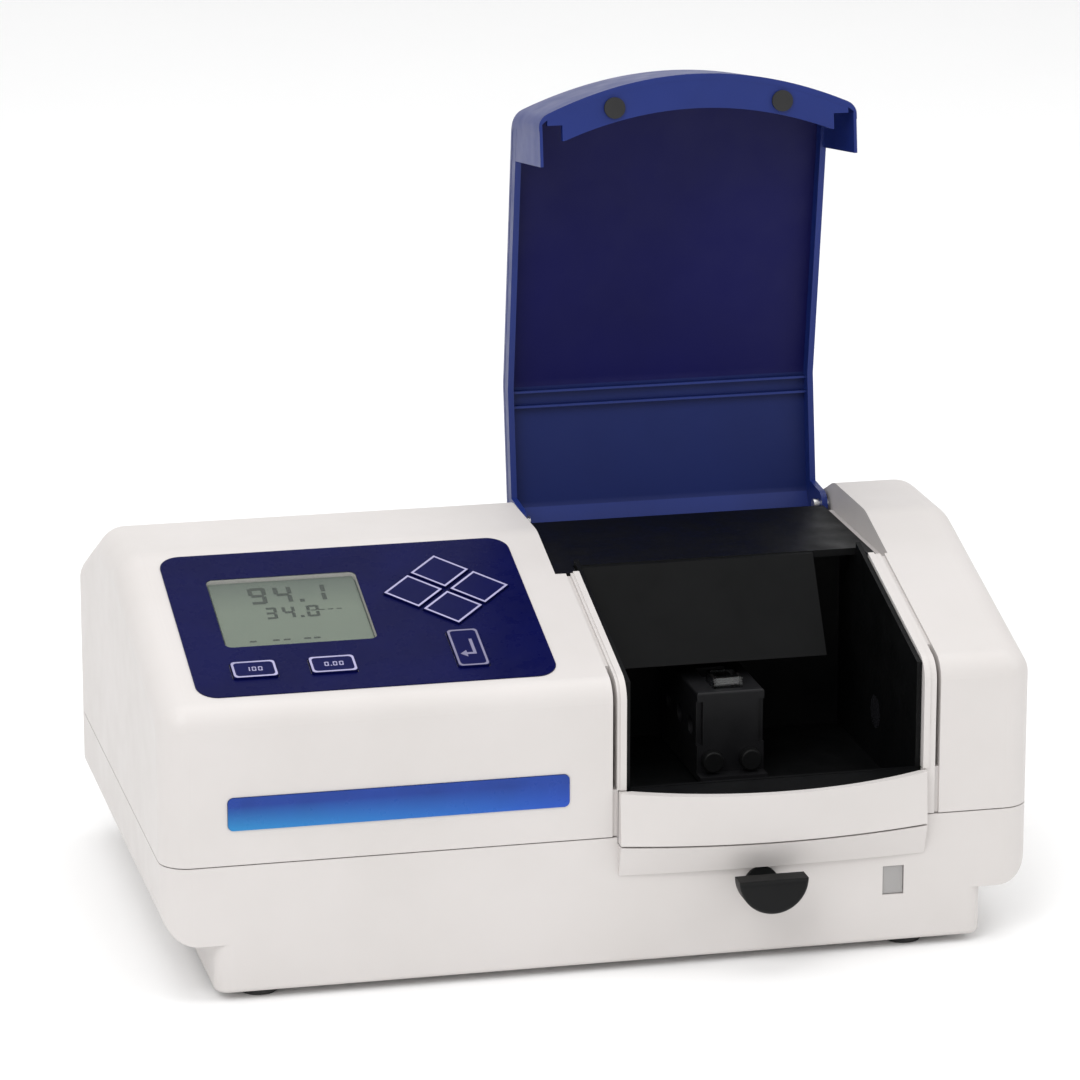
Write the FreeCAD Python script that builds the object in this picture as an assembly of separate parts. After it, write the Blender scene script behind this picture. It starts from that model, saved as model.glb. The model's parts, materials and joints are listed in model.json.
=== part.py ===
import FreeCAD, Part
import math
import os

# Bench spectrophotometer: sloped case with display and keys on the left, sample chamber with a
# lift-up lid on the right. Millimetres. X runs along the front, Y from front to back, Z up.
# Origin: on the bench, centred on the case width, and centred between pull knob and rear cover.

V = FreeCAD.Vector

# Case
CASE_HALF_W = 182.5
FRONT_Y = -114.0
BACK_Y = 118.0
TOP_Z = 157.0
SEAM_Z = 58.0
SEAM_GAP = 0.5
SLOPE_DEG = 16.3
SLOPE_FRONT_Z = 122.75
REAR_BREAK_Y = 51.0
REAR_EDGE_Z = 126.0
WALL = 2.6
SIDE_R = 12.0
FRONT_EDGE_R = 10.0
SLOPE_TOP_R = 25.0
REAR_R = 20.0
PLINTH_HALF_W = 161.6
PLINTH_TOP_Z = 24.5
PLINTH_BOTTOM_Z = 3.5
PLINTH_R = 6.0
BELLY_R = 15.0
FLOOR_Z = 6.5
TONGUE = 3.5

# Lid recess and chamber
RECESS_X0 = -1.6
RECESS_X1 = 143.2
RECESS_BACK_Y = 84.0
DECK_Z = 147.0
DECK_T = 3.0
DECK_FRONT_Y = -31.0
DECK_MID_Y = -20.0
DECK_BACK_Y = 50.0
DECK_X1 = 138.2
APRON_X1 = 113.0
HINGE_WELL_Y0 = 52.0
HINGE_WELL_Z = 128.0
OPEN_X0 = 8.6
OPEN_X1 = 134.6
BEAD_W = 2.6
BEAD_H = 0.7
GROOVE_D = 1.2
OPEN_BACK_Y = 5.5
OPEN_FRONT_Z = 79.0
TUB_GAP = 0.3
TUB_WALL = 2.0
TUB_FLOOR_Z = 62.0
TUB_RIM_DEPTH = 0.6
APRON_Y = -45.0
APRON_Z = 108.0
BEAM_Y = -53.0
BEAM_Z = 84.0
WINDOW_R = 7.0

# Front lip
LIP_X0 = 5.4
LIP_X1 = 135.6
LIP_TOP_Z = 77.6
LIP_SEAM_Z = 55.6
LIP_BOTTOM_Z = 41.5
LIP_TOP_BULGE = 18.4
LIP_MID_BULGE = 13.6
LIP_END_BULGE = 3.4
LIP_LOW_BULGE = 3.0

# Lid
LID_X0 = 3.2
LID_X1 = 141.6
LID_T = 2.6
LID_LIFT = 9.4
LID_FLANGE = 9.0
LID_END_BULGE = 4.4
LID_MID_BULGE = 20.4
CHEEK_T = 1.4
CHEEK_BACK_Y = -98.0
CHEEK_CLEAR = 0.25
LID_LIP_GAP = 2.0
LID_RIM = 11.0
HINGE_Y = 60.0
HINGE_Z = 144.8
LID_OPEN_DEG = 98.0
HINGE_PIN_R = 2.5
HINGE_FIT = 0.08
BUMPER_R = 4.5
BUMPER_T = 1.2
BUMPER_DX = 36.5

# Keypad label, measured along the slope from its front edge
LABEL_X0 = -165.0
LABEL_X1 = -16.7
LABEL_S0 = 10.5
LABEL_S1 = 117.5
LABEL_R = 9.0
LABEL_T = 0.5
GLASS_X0 = -148.0
GLASS_X1 = -85.0
GLASS_S0 = 46.0
GLASS_S1 = 98.0
KEY_PROUD = 0.9
KEY_PLATE_T = 1.6
KEY_TRAVEL = 0.5
KEY_CLEAR = 0.35
KEY_STEM_R = 1.8
KEY_STEM_LEN = 5.0
PAD_X = -50.0
PAD_S = 78.5
PAD_STEP = 14.0
DIAMOND_HALF = 13.0
TALL_KEY = (-50.2, 33.5, 13.6, 28.0)
LEFT_KEY = (-139.5, 28.0, 19.0, 12.5)
RIGHT_KEY = (-107.2, 28.0, 19.5, 12.5)

# Cell changer
CHANGER_X = 66.0
BLOCK_FRONT_Y = -64.0
BLOCK_LEN = 58.0
BLOCK_W = 29.0
BLOCK_TOP_Z = 101.0
WELL = 12.9
WELL_PITCH = 18.0
WELL_COUNT = 3
CELL = 12.5
CELL_H = 38.0
CARRIAGE_Z0 = 63.4
CARRIAGE_Z1 = 66.0
ROD_R = 3.0
ROD_FIT = 0.05
ROD_Z = 33.5
KNOB_R = 14.6
KNOB_TOP_Z = 41.6
KNOB_FRONT_Y = -136.0
KNOB_BACK_Y = -126.5
LINK_Y0 = -14.0
LINK_Y1 = -8.0
CHANGER_TRAVEL = 36.0

# Badge and small port on the front
BADGE_X0 = -155.9
BADGE_X1 = -15.0
BADGE_Z0 = 72.7
BADGE_Z1 = 86.8
BADGE_T = 1.2
PORT_X0 = 118.3
PORT_X1 = 127.4
PORT_Z0 = 24.0
PORT_Z1 = 36.5

# Rear panel and its fittings
PANEL_X0 = -20.0
PANEL_X1 = 160.0
PANEL_Z0 = 31.0
PANEL_Z1 = 101.0
PANEL_FRAME = 5.0
PANEL_Y0 = 113.6
PANEL_Y1 = 115.2
PANEL_ROW_Z = 78.0
FAN_X = 118.0
FAN_Z = 66.0
FAN_HALF = 29.5
FAN_BORE_R = 27.5
FAN_Y0 = 98.0
FAN_HUB_R = 12.0
FAN_BLADES = 7
INLET_X = 62.0
SWITCH_X = 22.0
ROCKER_Y = 112.2
ROCKER_PIN_R = 1.2
FUSE_X = 22.0
FUSE_Z = 49.0
SERIAL_X = 58.0
SERIAL_Z = 49.0
SOCKET_X = (-8.0, 0.0)
COVER_X0 = -155.0
COVER_X1 = -60.0
COVER_Z0 = 62.5
COVER_Z1 = 115.0
COVER_BACK_Y = 136.0

# Optics, on a cast base in the left half
BASE_X0 = -150.0
BASE_X1 = -8.0
BASE_Y0 = -95.0
BASE_Y1 = 84.0
BASE_Z0 = 62.0
BASE_Z1 = 68.0
LAMP_X = -108.0
LAMP_Y = 96.0
TURRET_X = -60.0
TURRET_Y = 8.0
TURRET_GEAR_R = 18.0
PINION_R = 6.0
GEAR_GAP = 0.5
WHEEL_R = 19.0
WHEEL_X = -92.0
WHEEL_Y = 57.0
SLIT_X = -108.0
SLIT_Y = 30.0
EXIT_SLIT_X = -18.0
MIRRORS = ((-100.0, -68.0, 12.0), (-45.0, -72.0, -14.0))
LENS_Y = 76.0
LENS_R = 12.0


def box(x0, x1, y0, y1, z0, z1):
    return Part.makeBox(x1 - x0, y1 - y0, z1 - z0, V(x0, y0, z0))


def cyl_x(x0, x1, y, z, r):
    return Part.makeCylinder(r, x1 - x0, V(x0, y, z), V(1, 0, 0))


def cyl_y(x, y0, y1, z, r):
    return Part.makeCylinder(r, y1 - y0, V(x, y0, z), V(0, 1, 0))


def cyl_z(x, y, z0, z1, r):
    return Part.makeCylinder(r, z1 - z0, V(x, y, z0), V(0, 0, 1))


def fuse(shapes):
    return shapes[0].multiFuse(shapes[1:]).removeSplitter()


def round_plan(x0, x1, y0, y1, z0, z1, r):
    """Box whose four upright edges are rounded."""
    solid = box(x0, x1, y0, y1, z0, z1)
    upright = [e for e in solid.Edges if abs(e.Vertexes[0].Z - e.Vertexes[1].Z) > (z1 - z0) / 2]
    return solid.makeFillet(r, upright)


def round_front(x0, x1, z0, z1, y0, y1, r):
    """Box whose four edges running front to back are rounded."""
    solid = box(x0, x1, y0, y1, z0, z1)
    along = [e for e in solid.Edges if abs(e.Vertexes[0].Y - e.Vertexes[1].Y) > (y1 - y0) / 2]
    return solid.makeFillet(r, along)


def inset_polygon(points, t):
    """Corner points of a closed YZ outline (walked clockwise) moved inward by t."""
    lines = []
    for a, b in zip(points, points[1:] + points[:1]):
        length = math.hypot(b[0] - a[0], b[1] - a[1])
        uy, uz = (b[0] - a[0]) / length, (b[1] - a[1]) / length
        lines.append((a[0] + uz * t, a[1] - uy * t, uy, uz))
    corners = []
    for first, second in zip(lines[-1:] + lines[:-1], lines):
        det = first[2] * second[3] - first[3] * second[2]
        dy, dz = second[0] - first[0], second[1] - first[1]
        k = (dy * second[3] - dz * second[2]) / det
        corners.append((first[0] + first[2] * k, first[1] + first[3] * k))
    return corners


def prism_x(points, x0, x1):
    """YZ outline pushed along X."""
    ring = [V(x0, y, z) for y, z in points]
    return Part.Face(Part.makePolygon(ring + ring[:1])).extrude(V(x1 - x0, 0, 0))


def slope_z(y, depth=0.0):
    """Height of the sloping top at y, or of a line parallel to it and depth lower."""
    a = math.radians(SLOPE_DEG)
    return SLOPE_FRONT_Z + (y - FRONT_Y) * math.tan(a) - depth / math.cos(a)


def slope_end_y(depth=0.0):
    """Where a line parallel to the slope meets the flat top, both depth lower."""
    a = math.radians(SLOPE_DEG)
    return FRONT_Y + (TOP_Z - depth - SLOPE_FRONT_Z + depth / math.cos(a)) / math.tan(a)


def on_slope(shape):
    """Place a shape drawn as (x, distance up the slope, height above it) onto the case."""
    placed = shape.copy()
    placed.rotate(V(0, 0, 0), V(1, 0, 0), SLOPE_DEG)
    placed.translate(V(0, FRONT_Y, SLOPE_FRONT_Z))
    return placed


def case_outline(z_bottom):
    return [(FRONT_Y, z_bottom), (FRONT_Y, SLOPE_FRONT_Z), (slope_end_y(), TOP_Z),
            (REAR_BREAK_Y, TOP_Z), (BACK_Y, REAR_EDGE_Z), (BACK_Y, z_bottom)]


def x_edges_near(solid, point):
    """Edges parallel to X that pass through a YZ point."""
    found = []
    for edge in solid.Edges:
        a, b = edge.Vertexes[0].Point, edge.Vertexes[-1].Point
        level = abs(a.y - b.y) + abs(a.z - b.z) < 0.01
        near = math.hypot(a.y - point[0], a.z - point[1]) < 0.05
        if level and near:
            found.append(edge)
    return found


def case_block(inset, z_bottom):
    """The upper case as a solid, all faces moved inward by inset."""
    low = z_bottom - WALL
    points = inset_polygon(case_outline(low), inset)
    solid = prism_x(points, -CASE_HALF_W + inset, CASE_HALF_W - inset)
    radii = (FRONT_EDGE_R, SLOPE_TOP_R, REAR_R, FRONT_EDGE_R)
    for corner, radius in zip(points[1:5], radii):
        solid = solid.makeFillet(radius - inset, x_edges_near(solid, corner))
    sides = []
    for edge in solid.Edges:
        xs = [v.X for v in edge.Vertexes]
        at_side = abs(abs(xs[0]) - (CASE_HALF_W - inset)) < 0.01 and abs(xs[0] - xs[-1]) < 0.01
        low_edge = max(v.Z for v in edge.Vertexes) < low + inset + 0.1
        if at_side and not low_edge:
            sides.append(edge)
    solid = solid.makeFillet(SIDE_R - inset, sides)
    big = 400.0
    return solid.cut(box(-big, big, -big, big, -big, z_bottom))


def below_top(depth, x0, x1, y0, y1):
    """Everything above a surface that runs depth below slope and flat top."""
    outline = [(y0, slope_z(y0, depth)), (y0, 2 * TOP_Z), (y1, 2 * TOP_Z), (y1, TOP_Z - depth),
               (slope_end_y(depth), TOP_Z - depth)]
    return prism_x(outline, x0, x1)


def label_plate(x0, x1, s0, s1, n0, n1, r):
    return on_slope(round_plan(x0, x1, s0, s1, n0, n1, r))


def key_outlines():
    """Name, centre and half-shape of every key, on the slope."""
    pads = [("key_up", 0, 1), ("key_down", 0, -1), ("key_left", -1, 0), ("key_right", 1, 0)]
    keys = {}
    for name, ix, iy in pads:
        keys[name] = (PAD_X + ix * PAD_STEP, PAD_S + iy * PAD_STEP, None)
    keys["key_enter"] = (TALL_KEY[0], TALL_KEY[1], TALL_KEY[2:])
    keys["key_mode"] = (LEFT_KEY[0], LEFT_KEY[1], LEFT_KEY[2:])
    keys["key_zero"] = (RIGHT_KEY[0], RIGHT_KEY[1], RIGHT_KEY[2:])
    return keys


def key_solid(spec, grow, n0, n1):
    x, s, size = spec
    if size is None:
        half = DIAMOND_HALF + grow * math.sqrt(2)
        ring = [V(x - half, s, n0), V(x, s - half, n0), V(x + half, s, n0), V(x, s + half, n0)]
        return Part.Face(Part.makePolygon(ring + ring[:1])).extrude(V(0, 0, n1 - n0))
    half_w, half_h = size[0] / 2 + grow, size[1] / 2 + grow
    return round_plan(x - half_w, x + half_w, s - half_h, s + half_h, n0, n1, 1.5 + grow)


def make_keys():
    keys = {}
    n0 = LABEL_T + KEY_PROUD - KEY_PLATE_T
    for name, spec in key_outlines().items():
        cap = key_solid(spec, -KEY_CLEAR, n0, LABEL_T + KEY_PROUD)
        stem = cyl_z(spec[0], spec[1], n0 - KEY_STEM_LEN, n0 + 0.2, KEY_STEM_R)
        keys[name] = on_slope(fuse([cap, stem]))
    return keys


def key_pockets():
    n0 = LABEL_T + KEY_PROUD - KEY_PLATE_T - KEY_TRAVEL - 0.1
    cuts = []
    for spec in key_outlines().values():
        cuts.append(on_slope(key_solid(spec, 0.0, n0, 2.0)))
        cuts.append(on_slope(cyl_z(spec[0], spec[1], -2 * WALL, 2.0, KEY_STEM_R + 0.3)))
    return cuts


def recess_room(grow):
    """Space for the deck and the lid, with a deeper well at the hinge, enlarged by grow."""
    x0, x1, high = RECESS_X0 - grow, RECESS_X1 + grow, 2 * TOP_Z
    ledge = box(x0, x1, DECK_FRONT_Y - grow, RECESS_BACK_Y + grow, DECK_Z - DECK_T - grow, high)
    well = box(x0, x1, HINGE_WELL_Y0 - grow, RECESS_BACK_Y + grow, HINGE_WELL_Z - grow, high)
    return ledge.fuse(well)


def side_strips(left, right, y1, z0, grow=0.0):
    """Two upright slices across the front of the case, one each side of the opening."""
    strips = [box(x0 - grow, x1 + grow, FRONT_Y - 5, y1 + grow, z0 - grow, TOP_Z) for x0,
              x1 in (left, right)]
    return Part.makeCompound(strips)


def upper_case():
    z0 = SEAM_Z + SEAM_GAP / 2
    lip_z = LIP_TOP_Z + SEAM_GAP
    beads = ((OPEN_X0 - BEAD_W, OPEN_X0), (OPEN_X1, OPEN_X1 + BEAD_W))
    slots = ((LID_X0 - CHEEK_CLEAR, LID_X0 + CHEEK_T + CHEEK_CLEAR),
             (LID_X1 - CHEEK_T - CHEEK_CLEAR, LID_X1 + CHEEK_CLEAR))
    slot_y = CHEEK_BACK_Y + CHEEK_CLEAR
    outer = case_block(0.0, z0)
    cavity = case_block(WALL, z0 - WALL)
    bead = case_block(-BEAD_H, z0).common(side_strips(*beads, DECK_FRONT_Y, lip_z))
    groove = side_strips(*slots, DECK_FRONT_Y, z0).cut(case_block(GROOVE_D, z0 - WALL))
    shell = outer.cut(cavity.cut(recess_room(WALL)).cut(side_strips(*slots, slot_y, lip_z, WALL)))
    shell = shell.cut(recess_room(0.0)).fuse(bead).cut(groove).cut(side_strips(*slots, slot_y, lip_z))
    cuts = [
        box(OPEN_X0, OPEN_X1, FRONT_Y - 5, OPEN_BACK_Y, LIP_TOP_Z + SEAM_GAP, TOP_Z - 2),
        box(LIP_X0 - 0.3, LIP_X1 + 0.3, FRONT_Y - 1, FRONT_Y + WALL + 0.01, z0 - 1, LIP_TOP_Z + SEAM_GAP),
        label_plate(GLASS_X0, GLASS_X1, GLASS_S0, GLASS_S1, -3 * WALL, 1.0, 3.0),
        round_front(BADGE_X0, BADGE_X1, BADGE_Z0, BADGE_Z1, FRONT_Y - 1, FRONT_Y + BADGE_T / 2, 2.5),
        box(PANEL_X0 + PANEL_FRAME, PANEL_X1 - PANEL_FRAME, PANEL_Y1, BACK_Y + 1,
            SEAM_Z, PANEL_Z1 - PANEL_FRAME),
        box(COVER_X0 + 10, COVER_X1 - 10, BACK_Y - WALL - 1, BACK_Y + 1, COVER_Z0 + 6, COVER_Z1 - 6),
    ]
    cuts.append(cyl_x(RECESS_X0 - WALL, RECESS_X1 + WALL, HINGE_Y, HINGE_Z, HINGE_PIN_R))
    cuts += key_pockets()
    for x in (COVER_X0 + 5, COVER_X1 - 5):
        cuts.append(cyl_y(x, BACK_Y - WALL - 1, BACK_Y + 1, (COVER_Z0 + COVER_Z1) / 2, 1.6))
    return shell.cut(Part.makeCompound(cuts))


def belly_outline(inset):
    """Front view of the lower case: wide body rounded under its overhanging sides."""
    half = CASE_HALF_W - inset
    radius = BELLY_R - inset
    z0 = PLINTH_TOP_Z + inset
    z1 = SEAM_Z + 20
    c = radius * math.cos(math.pi / 4)
    edges = [
        Part.LineSegment(V(-half, 0, z1), V(half, 0, z1)).toShape(),
        Part.LineSegment(V(half, 0, z1), V(half, 0, z0 + radius)).toShape(),
        Part.Arc(V(half, 0, z0 + radius), V(half - radius + c, 0, z0 + radius - c),
                 V(half - radius, 0, z0)).toShape(),
        Part.LineSegment(V(half - radius, 0, z0), V(-half + radius, 0, z0)).toShape(),
        Part.Arc(V(-half + radius, 0, z0), V(-half + radius - c, 0, z0 + radius - c),
                 V(-half, 0, z0 + radius)).toShape(),
        Part.LineSegment(V(-half, 0, z0 + radius), V(-half, 0, z1)).toShape(),
    ]
    face = Part.Face(Part.Wire(Part.__sortEdges__(edges)))
    face.translate(V(0, FRONT_Y + inset, 0))
    return face.extrude(V(0, BACK_Y - FRONT_Y - 2 * inset, 0))


def lower_block(inset, z_top, z_bottom):
    wide = round_plan(-CASE_HALF_W + inset, CASE_HALF_W - inset, FRONT_Y + inset, BACK_Y - inset,
                      PLINTH_TOP_Z, z_top, SIDE_R - inset)
    wide = wide.common(belly_outline(inset))
    plinth = round_plan(-PLINTH_HALF_W + inset, PLINTH_HALF_W - inset, FRONT_Y + inset, BACK_Y - inset,
                        z_bottom, PLINTH_TOP_Z + BELLY_R, PLINTH_R - inset)
    rim = [e for e in plinth.Edges if max(v.Z for v in e.Vertexes) < z_bottom + 0.01]
    plinth = plinth.makeFillet(2.0, rim)
    return wide.fuse(plinth)


def feet_points():
    return [(x, y) for x in (-142.0, 131.0) for y in (FRONT_Y + 13, BACK_Y - 15)]


def screw_points():
    return [(x, y) for x in (-150.0, 150.0) for y in (-78.0, 82.0)]


def lower_case():
    z1 = SEAM_Z - SEAM_GAP / 2
    outer = lower_block(0.0, z1, PLINTH_BOTTOM_Z)
    cavity = lower_block(WALL, z1 + 1, FLOOR_Z)
    ring = round_plan(-CASE_HALF_W + WALL, CASE_HALF_W - WALL, FRONT_Y + WALL, BACK_Y - WALL,
                      z1 - 4, z1 + TONGUE, SIDE_R - WALL)
    hole = round_plan(-CASE_HALF_W + 2 * WALL, CASE_HALF_W - 2 * WALL, FRONT_Y + 2 * WALL, BACK_Y - 2 * WALL,
                      z1 - 5, z1 + TONGUE + 1, SIDE_R - 2 * WALL)
    ring = ring.cut(hole)
    ring = ring.cut(box(LIP_X0 - 2, LIP_X1 + 2, FRONT_Y, FRONT_Y + 6, z1 - 5, z1 + 10))
    tray = outer.cut(cavity).fuse(ring)
    top = arc_region(LIP_X0, LIP_X1, FRONT_Y + 1, 5.2, LIP_MID_BULGE - 0.4, LIP_SEAM_Z - 0.8)
    bottom = arc_region(LIP_X0, LIP_X1, FRONT_Y + 1, 0.6, LIP_LOW_BULGE, LIP_BOTTOM_Z)
    parts = [tray, Part.makeLoft([bottom, top], True, True)]
    for x, y in screw_points():
        parts.append(cyl_z(x, y, FLOOR_Z - 1, z1 - 8, 4.5))
    tray = fuse(parts)
    cuts = [
        box(LIP_X0 - 0.3, LIP_X1 + 0.3, FRONT_Y - 1, FRONT_Y + WALL + 0.01, LIP_SEAM_Z - 0.6, z1 + 1),
        cyl_y(CHANGER_X, FRONT_Y - 1, FRONT_Y + WALL + 1, ROD_Z, 6.0),
        box(PORT_X0, PORT_X1, FRONT_Y - 1, FRONT_Y + WALL + 1, PORT_Z0, PORT_Z1),
        box(PANEL_X0 + PANEL_FRAME, PANEL_X1 - PANEL_FRAME, PANEL_Y1, BACK_Y + 1, PANEL_Z0 + PANEL_FRAME,
            SEAM_Z + 10),
        box(PANEL_X0 - 1, PANEL_X1 + 1, BACK_Y - 3 * WALL, PANEL_Y1, z1 - 5, z1 + 10),
    ]
    for x, y in screw_points():
        cuts.append(cyl_z(x, y, PLINTH_BOTTOM_Z - 1, z1 - 12, 1.5))
        cuts.append(cyl_z(x, y, PLINTH_BOTTOM_Z - 1, PLINTH_BOTTOM_Z + 1.6, 3.4))
    for k in range(9):
        x = -132.0 + 8.0 * k
        cuts.append(box(x, x + 3.0, 62.0, 100.0, PLINTH_BOTTOM_Z - 1, FLOOR_Z + 1))
    return tray.cut(Part.makeCompound(cuts))


def arc_region(x0, x1, y_back, end_bulge, mid_bulge, z, inset=0.0):
    """Plan outline: straight at the back, bowed forward at the front."""
    mid = (x0 + x1) / 2
    a, b = V(x0, y_back, z), V(x1, y_back, z)
    c = V(x1, FRONT_Y - end_bulge + inset, z)
    d = V(x0, FRONT_Y - end_bulge + inset, z)
    top = V(mid, FRONT_Y - mid_bulge + inset, z)
    edges = [Part.LineSegment(a, b).toShape(), Part.LineSegment(b, c).toShape(),
             Part.Arc(c, top, d).toShape(), Part.LineSegment(d, a).toShape()]
    return Part.Wire(edges)


def chamber_front():
    """White front frame of the chamber with the bowed lip the lid closes onto."""
    z0 = SEAM_Z + SEAM_GAP / 2
    y1 = FRONT_Y + WALL
    plate = box(LIP_X0, LIP_X1, FRONT_Y, y1, z0, LIP_TOP_Z)
    low = arc_region(LIP_X0, LIP_X1, y1, 5.2, LIP_MID_BULGE, LIP_SEAM_Z)
    high = arc_region(LIP_X0, LIP_X1, y1, LIP_END_BULGE, LIP_TOP_BULGE, LIP_TOP_Z)
    lip = Part.makeLoft([low, high], True, True)
    body = plate.fuse(lip)
    pocket = Part.Face(arc_region(OPEN_X0, OPEN_X1, FRONT_Y + 1, 0.0, LIP_TOP_BULGE - 3.5, LIP_TOP_Z - 1.5))
    cuts = [
        box(OPEN_X0, OPEN_X1, FRONT_Y - 1, y1 + 1, LIP_TOP_Z - 1.5, TOP_Z),
        pocket.extrude(V(0, 0, 10)),
        box(LIP_X0 + 6, LIP_X1 - 6, FRONT_Y - 1, y1 + 1, LIP_SEAM_Z - 1, LIP_TOP_Z - 4.5),
    ]
    return body.cut(Part.makeCompound(cuts)).removeSplitter()


def chamber_tub():
    x0, x1 = OPEN_X0 + TUB_GAP, OPEN_X1 - TUB_GAP
    y0, y1 = FRONT_Y + WALL + 0.4, OPEN_BACK_Y - TUB_GAP
    z0 = TUB_FLOOR_Z - TUB_WALL
    outer = box(x0, x1, y0, y1, z0, TOP_Z)
    inner = box(x0 + TUB_WALL, x1 - TUB_WALL, y0 + TUB_WALL, y1 - TUB_WALL, TUB_FLOOR_Z, TOP_Z + 1)
    under_deck = box(x0 - 1, x1 + 1, DECK_MID_Y - TUB_GAP, y1 + 1, DECK_Z - DECK_T - 0.1, TOP_Z + 1)
    tub = outer.cut(inner).cut(below_top(TUB_RIM_DEPTH, x0 - 1, x1 + 1, y0 - 1, y1 + 1)).cut(under_deck)
    tub = tub.cut(box(x0 + TUB_WALL, x1 - TUB_WALL, y0 - 1, y0 + TUB_WALL + 1, LIP_TOP_Z, TOP_Z))
    for d in (-11.0, 11.0):
        rail = box(CHANGER_X + d - 2, CHANGER_X + d + 2, y0 + TUB_WALL - 0.5, y1 - TUB_WALL + 0.5,
                   TUB_FLOOR_Z - 0.5, TUB_FLOOR_Z + 1.0)
        tub = tub.fuse(rail)
    rim = arc_region(OPEN_X0 + 1.5, OPEN_X1 - 1.5, y0 + 1, -0.5, LIP_TOP_BULGE - 5.0, LIP_TOP_Z - 1.4)
    tub = tub.fuse(Part.Face(rim).extrude(V(0, 0, 1.2)))
    cuts = [
        cyl_x(x0 - 1, x1 + 1, BEAM_Y, BEAM_Z, WINDOW_R),
        box(CHANGER_X - 4, CHANGER_X + 4, LINK_Y0 - CHANGER_TRAVEL - 2, LINK_Y1 + 2, z0 - 1,
            TUB_FLOOR_Z + 1),
    ]
    return tub.cut(Part.makeCompound(cuts)).removeSplitter()


def rear_deck():
    """Black cover behind the opening, lying on its ledge, with an apron into the chamber."""
    x0, x1 = RECESS_X0 + 0.4, DECK_X1
    z0 = DECK_Z - DECK_T + 0.05
    slab = box(x0, x1, DECK_MID_Y, DECK_BACK_Y, z0, DECK_Z)
    tab_y = DECK_FRONT_Y + 0.3
    tabs = [box(x0, OPEN_X0 - 0.2, tab_y, DECK_MID_Y + 1, z0, DECK_Z),
            box(OPEN_X1 + 0.2, x1, tab_y, DECK_MID_Y + 1, z0, DECK_Z)]
    apron = prism_x([(DECK_MID_Y - 1.5, DECK_Z - 0.8), (DECK_MID_Y + 1, DECK_Z),
                     (DECK_MID_Y + 3, DECK_Z - 1),
                     (DECK_MID_Y + 2.5, DECK_Z - 4), (APRON_Y + 2.5, APRON_Z - 1), (APRON_Y, APRON_Z)],
                    OPEN_X0 + 2.8, APRON_X1)
    return fuse([slab] + tabs + [apron])


def beam_windows():
    """Glass discs in the two side walls of the tub."""
    left = OPEN_X0 + TUB_GAP
    right = OPEN_X1 - TUB_GAP - TUB_WALL
    return Part.makeCompound([cyl_x(x, x + TUB_WALL, BEAM_Y, BEAM_Z, WINDOW_R) for x in (left, right)])


def cell_ys():
    first = BLOCK_FRONT_Y + (BLOCK_LEN - WELL_PITCH * (WELL_COUNT - 1)) / 2
    return [first + WELL_PITCH * k for k in range(WELL_COUNT)]


def cell_block():
    half = BLOCK_W / 2
    body = box(CHANGER_X - half, CHANGER_X + half, BLOCK_FRONT_Y, BLOCK_FRONT_Y + BLOCK_LEN, CARRIAGE_Z1,
               BLOCK_TOP_Z)
    body = body.makeFillet(1.0, [e for e in body.Edges if min(v.Z for v in e.Vertexes) > BLOCK_TOP_Z - 0.1])
    cuts = []
    for y in cell_ys():
        cuts.append(box(CHANGER_X - WELL / 2, CHANGER_X + WELL / 2, y - WELL / 2, y + WELL / 2,
                        CARRIAGE_Z1 + 1.5, BLOCK_TOP_Z + 1))
        cuts.append(cyl_x(CHANGER_X - half - 1, CHANGER_X + half + 1, y, BEAM_Z, 4.0))
    for side in (-1, 1):
        x = CHANGER_X + side * (half - 1.2)
        cuts.append(box(x - 1.3, x + 1.3, BLOCK_FRONT_Y - 1, BLOCK_FRONT_Y + 2, CARRIAGE_Z1 + 12,
                        BLOCK_TOP_Z - 4))
    return body.cut(Part.makeCompound(cuts))


def cell_carriage():
    half = BLOCK_W / 2
    plate = box(CHANGER_X - half, CHANGER_X + half, BLOCK_FRONT_Y - 7.0, BLOCK_FRONT_Y + BLOCK_LEN,
                CARRIAGE_Z0, CARRIAGE_Z1)
    link = box(CHANGER_X - 3, CHANGER_X + 3, LINK_Y0, LINK_Y1, ROD_Z, CARRIAGE_Z0 + 1)
    collar = cyl_y(CHANGER_X, LINK_Y0, LINK_Y1, ROD_Z, 6.0)
    return fuse([plate, link, collar]).cut(cyl_y(CHANGER_X, LINK_Y0 - 1, LINK_Y1 + 1, ROD_Z, ROD_R))


def holder_screws():
    screws = []
    for x in (CHANGER_X - 8.2, CHANGER_X + 8.2):
        head = cyl_y(x, BLOCK_FRONT_Y - 4.5, BLOCK_FRONT_Y - 0.5, 71.5, 4.6)
        face_y = BLOCK_FRONT_Y - 4.5
        head = head.makeFillet(0.8, [e for e in head.Edges if abs(e.CenterOfMass.y - face_y) < 0.1])
        screws.append(head.fuse(cyl_y(x, BLOCK_FRONT_Y - 1, BLOCK_FRONT_Y, 71.5, 2.0)))
    return Part.makeCompound(screws)


def cuvette():
    y = cell_ys()[0]
    z0 = CARRIAGE_Z1 + 1.5
    outer = box(CHANGER_X - CELL / 2, CHANGER_X + CELL / 2, y - CELL / 2, y + CELL / 2, z0, z0 + CELL_H)
    bore = CELL / 2 - 1.25
    return outer.cut(box(CHANGER_X - bore, CHANGER_X + bore, y - bore, y + bore, z0 + 1.5, z0 + CELL_H + 1))


def changer_rod():
    return cyl_y(CHANGER_X, KNOB_BACK_Y - 6, LINK_Y1, ROD_Z, ROD_R)


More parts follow.
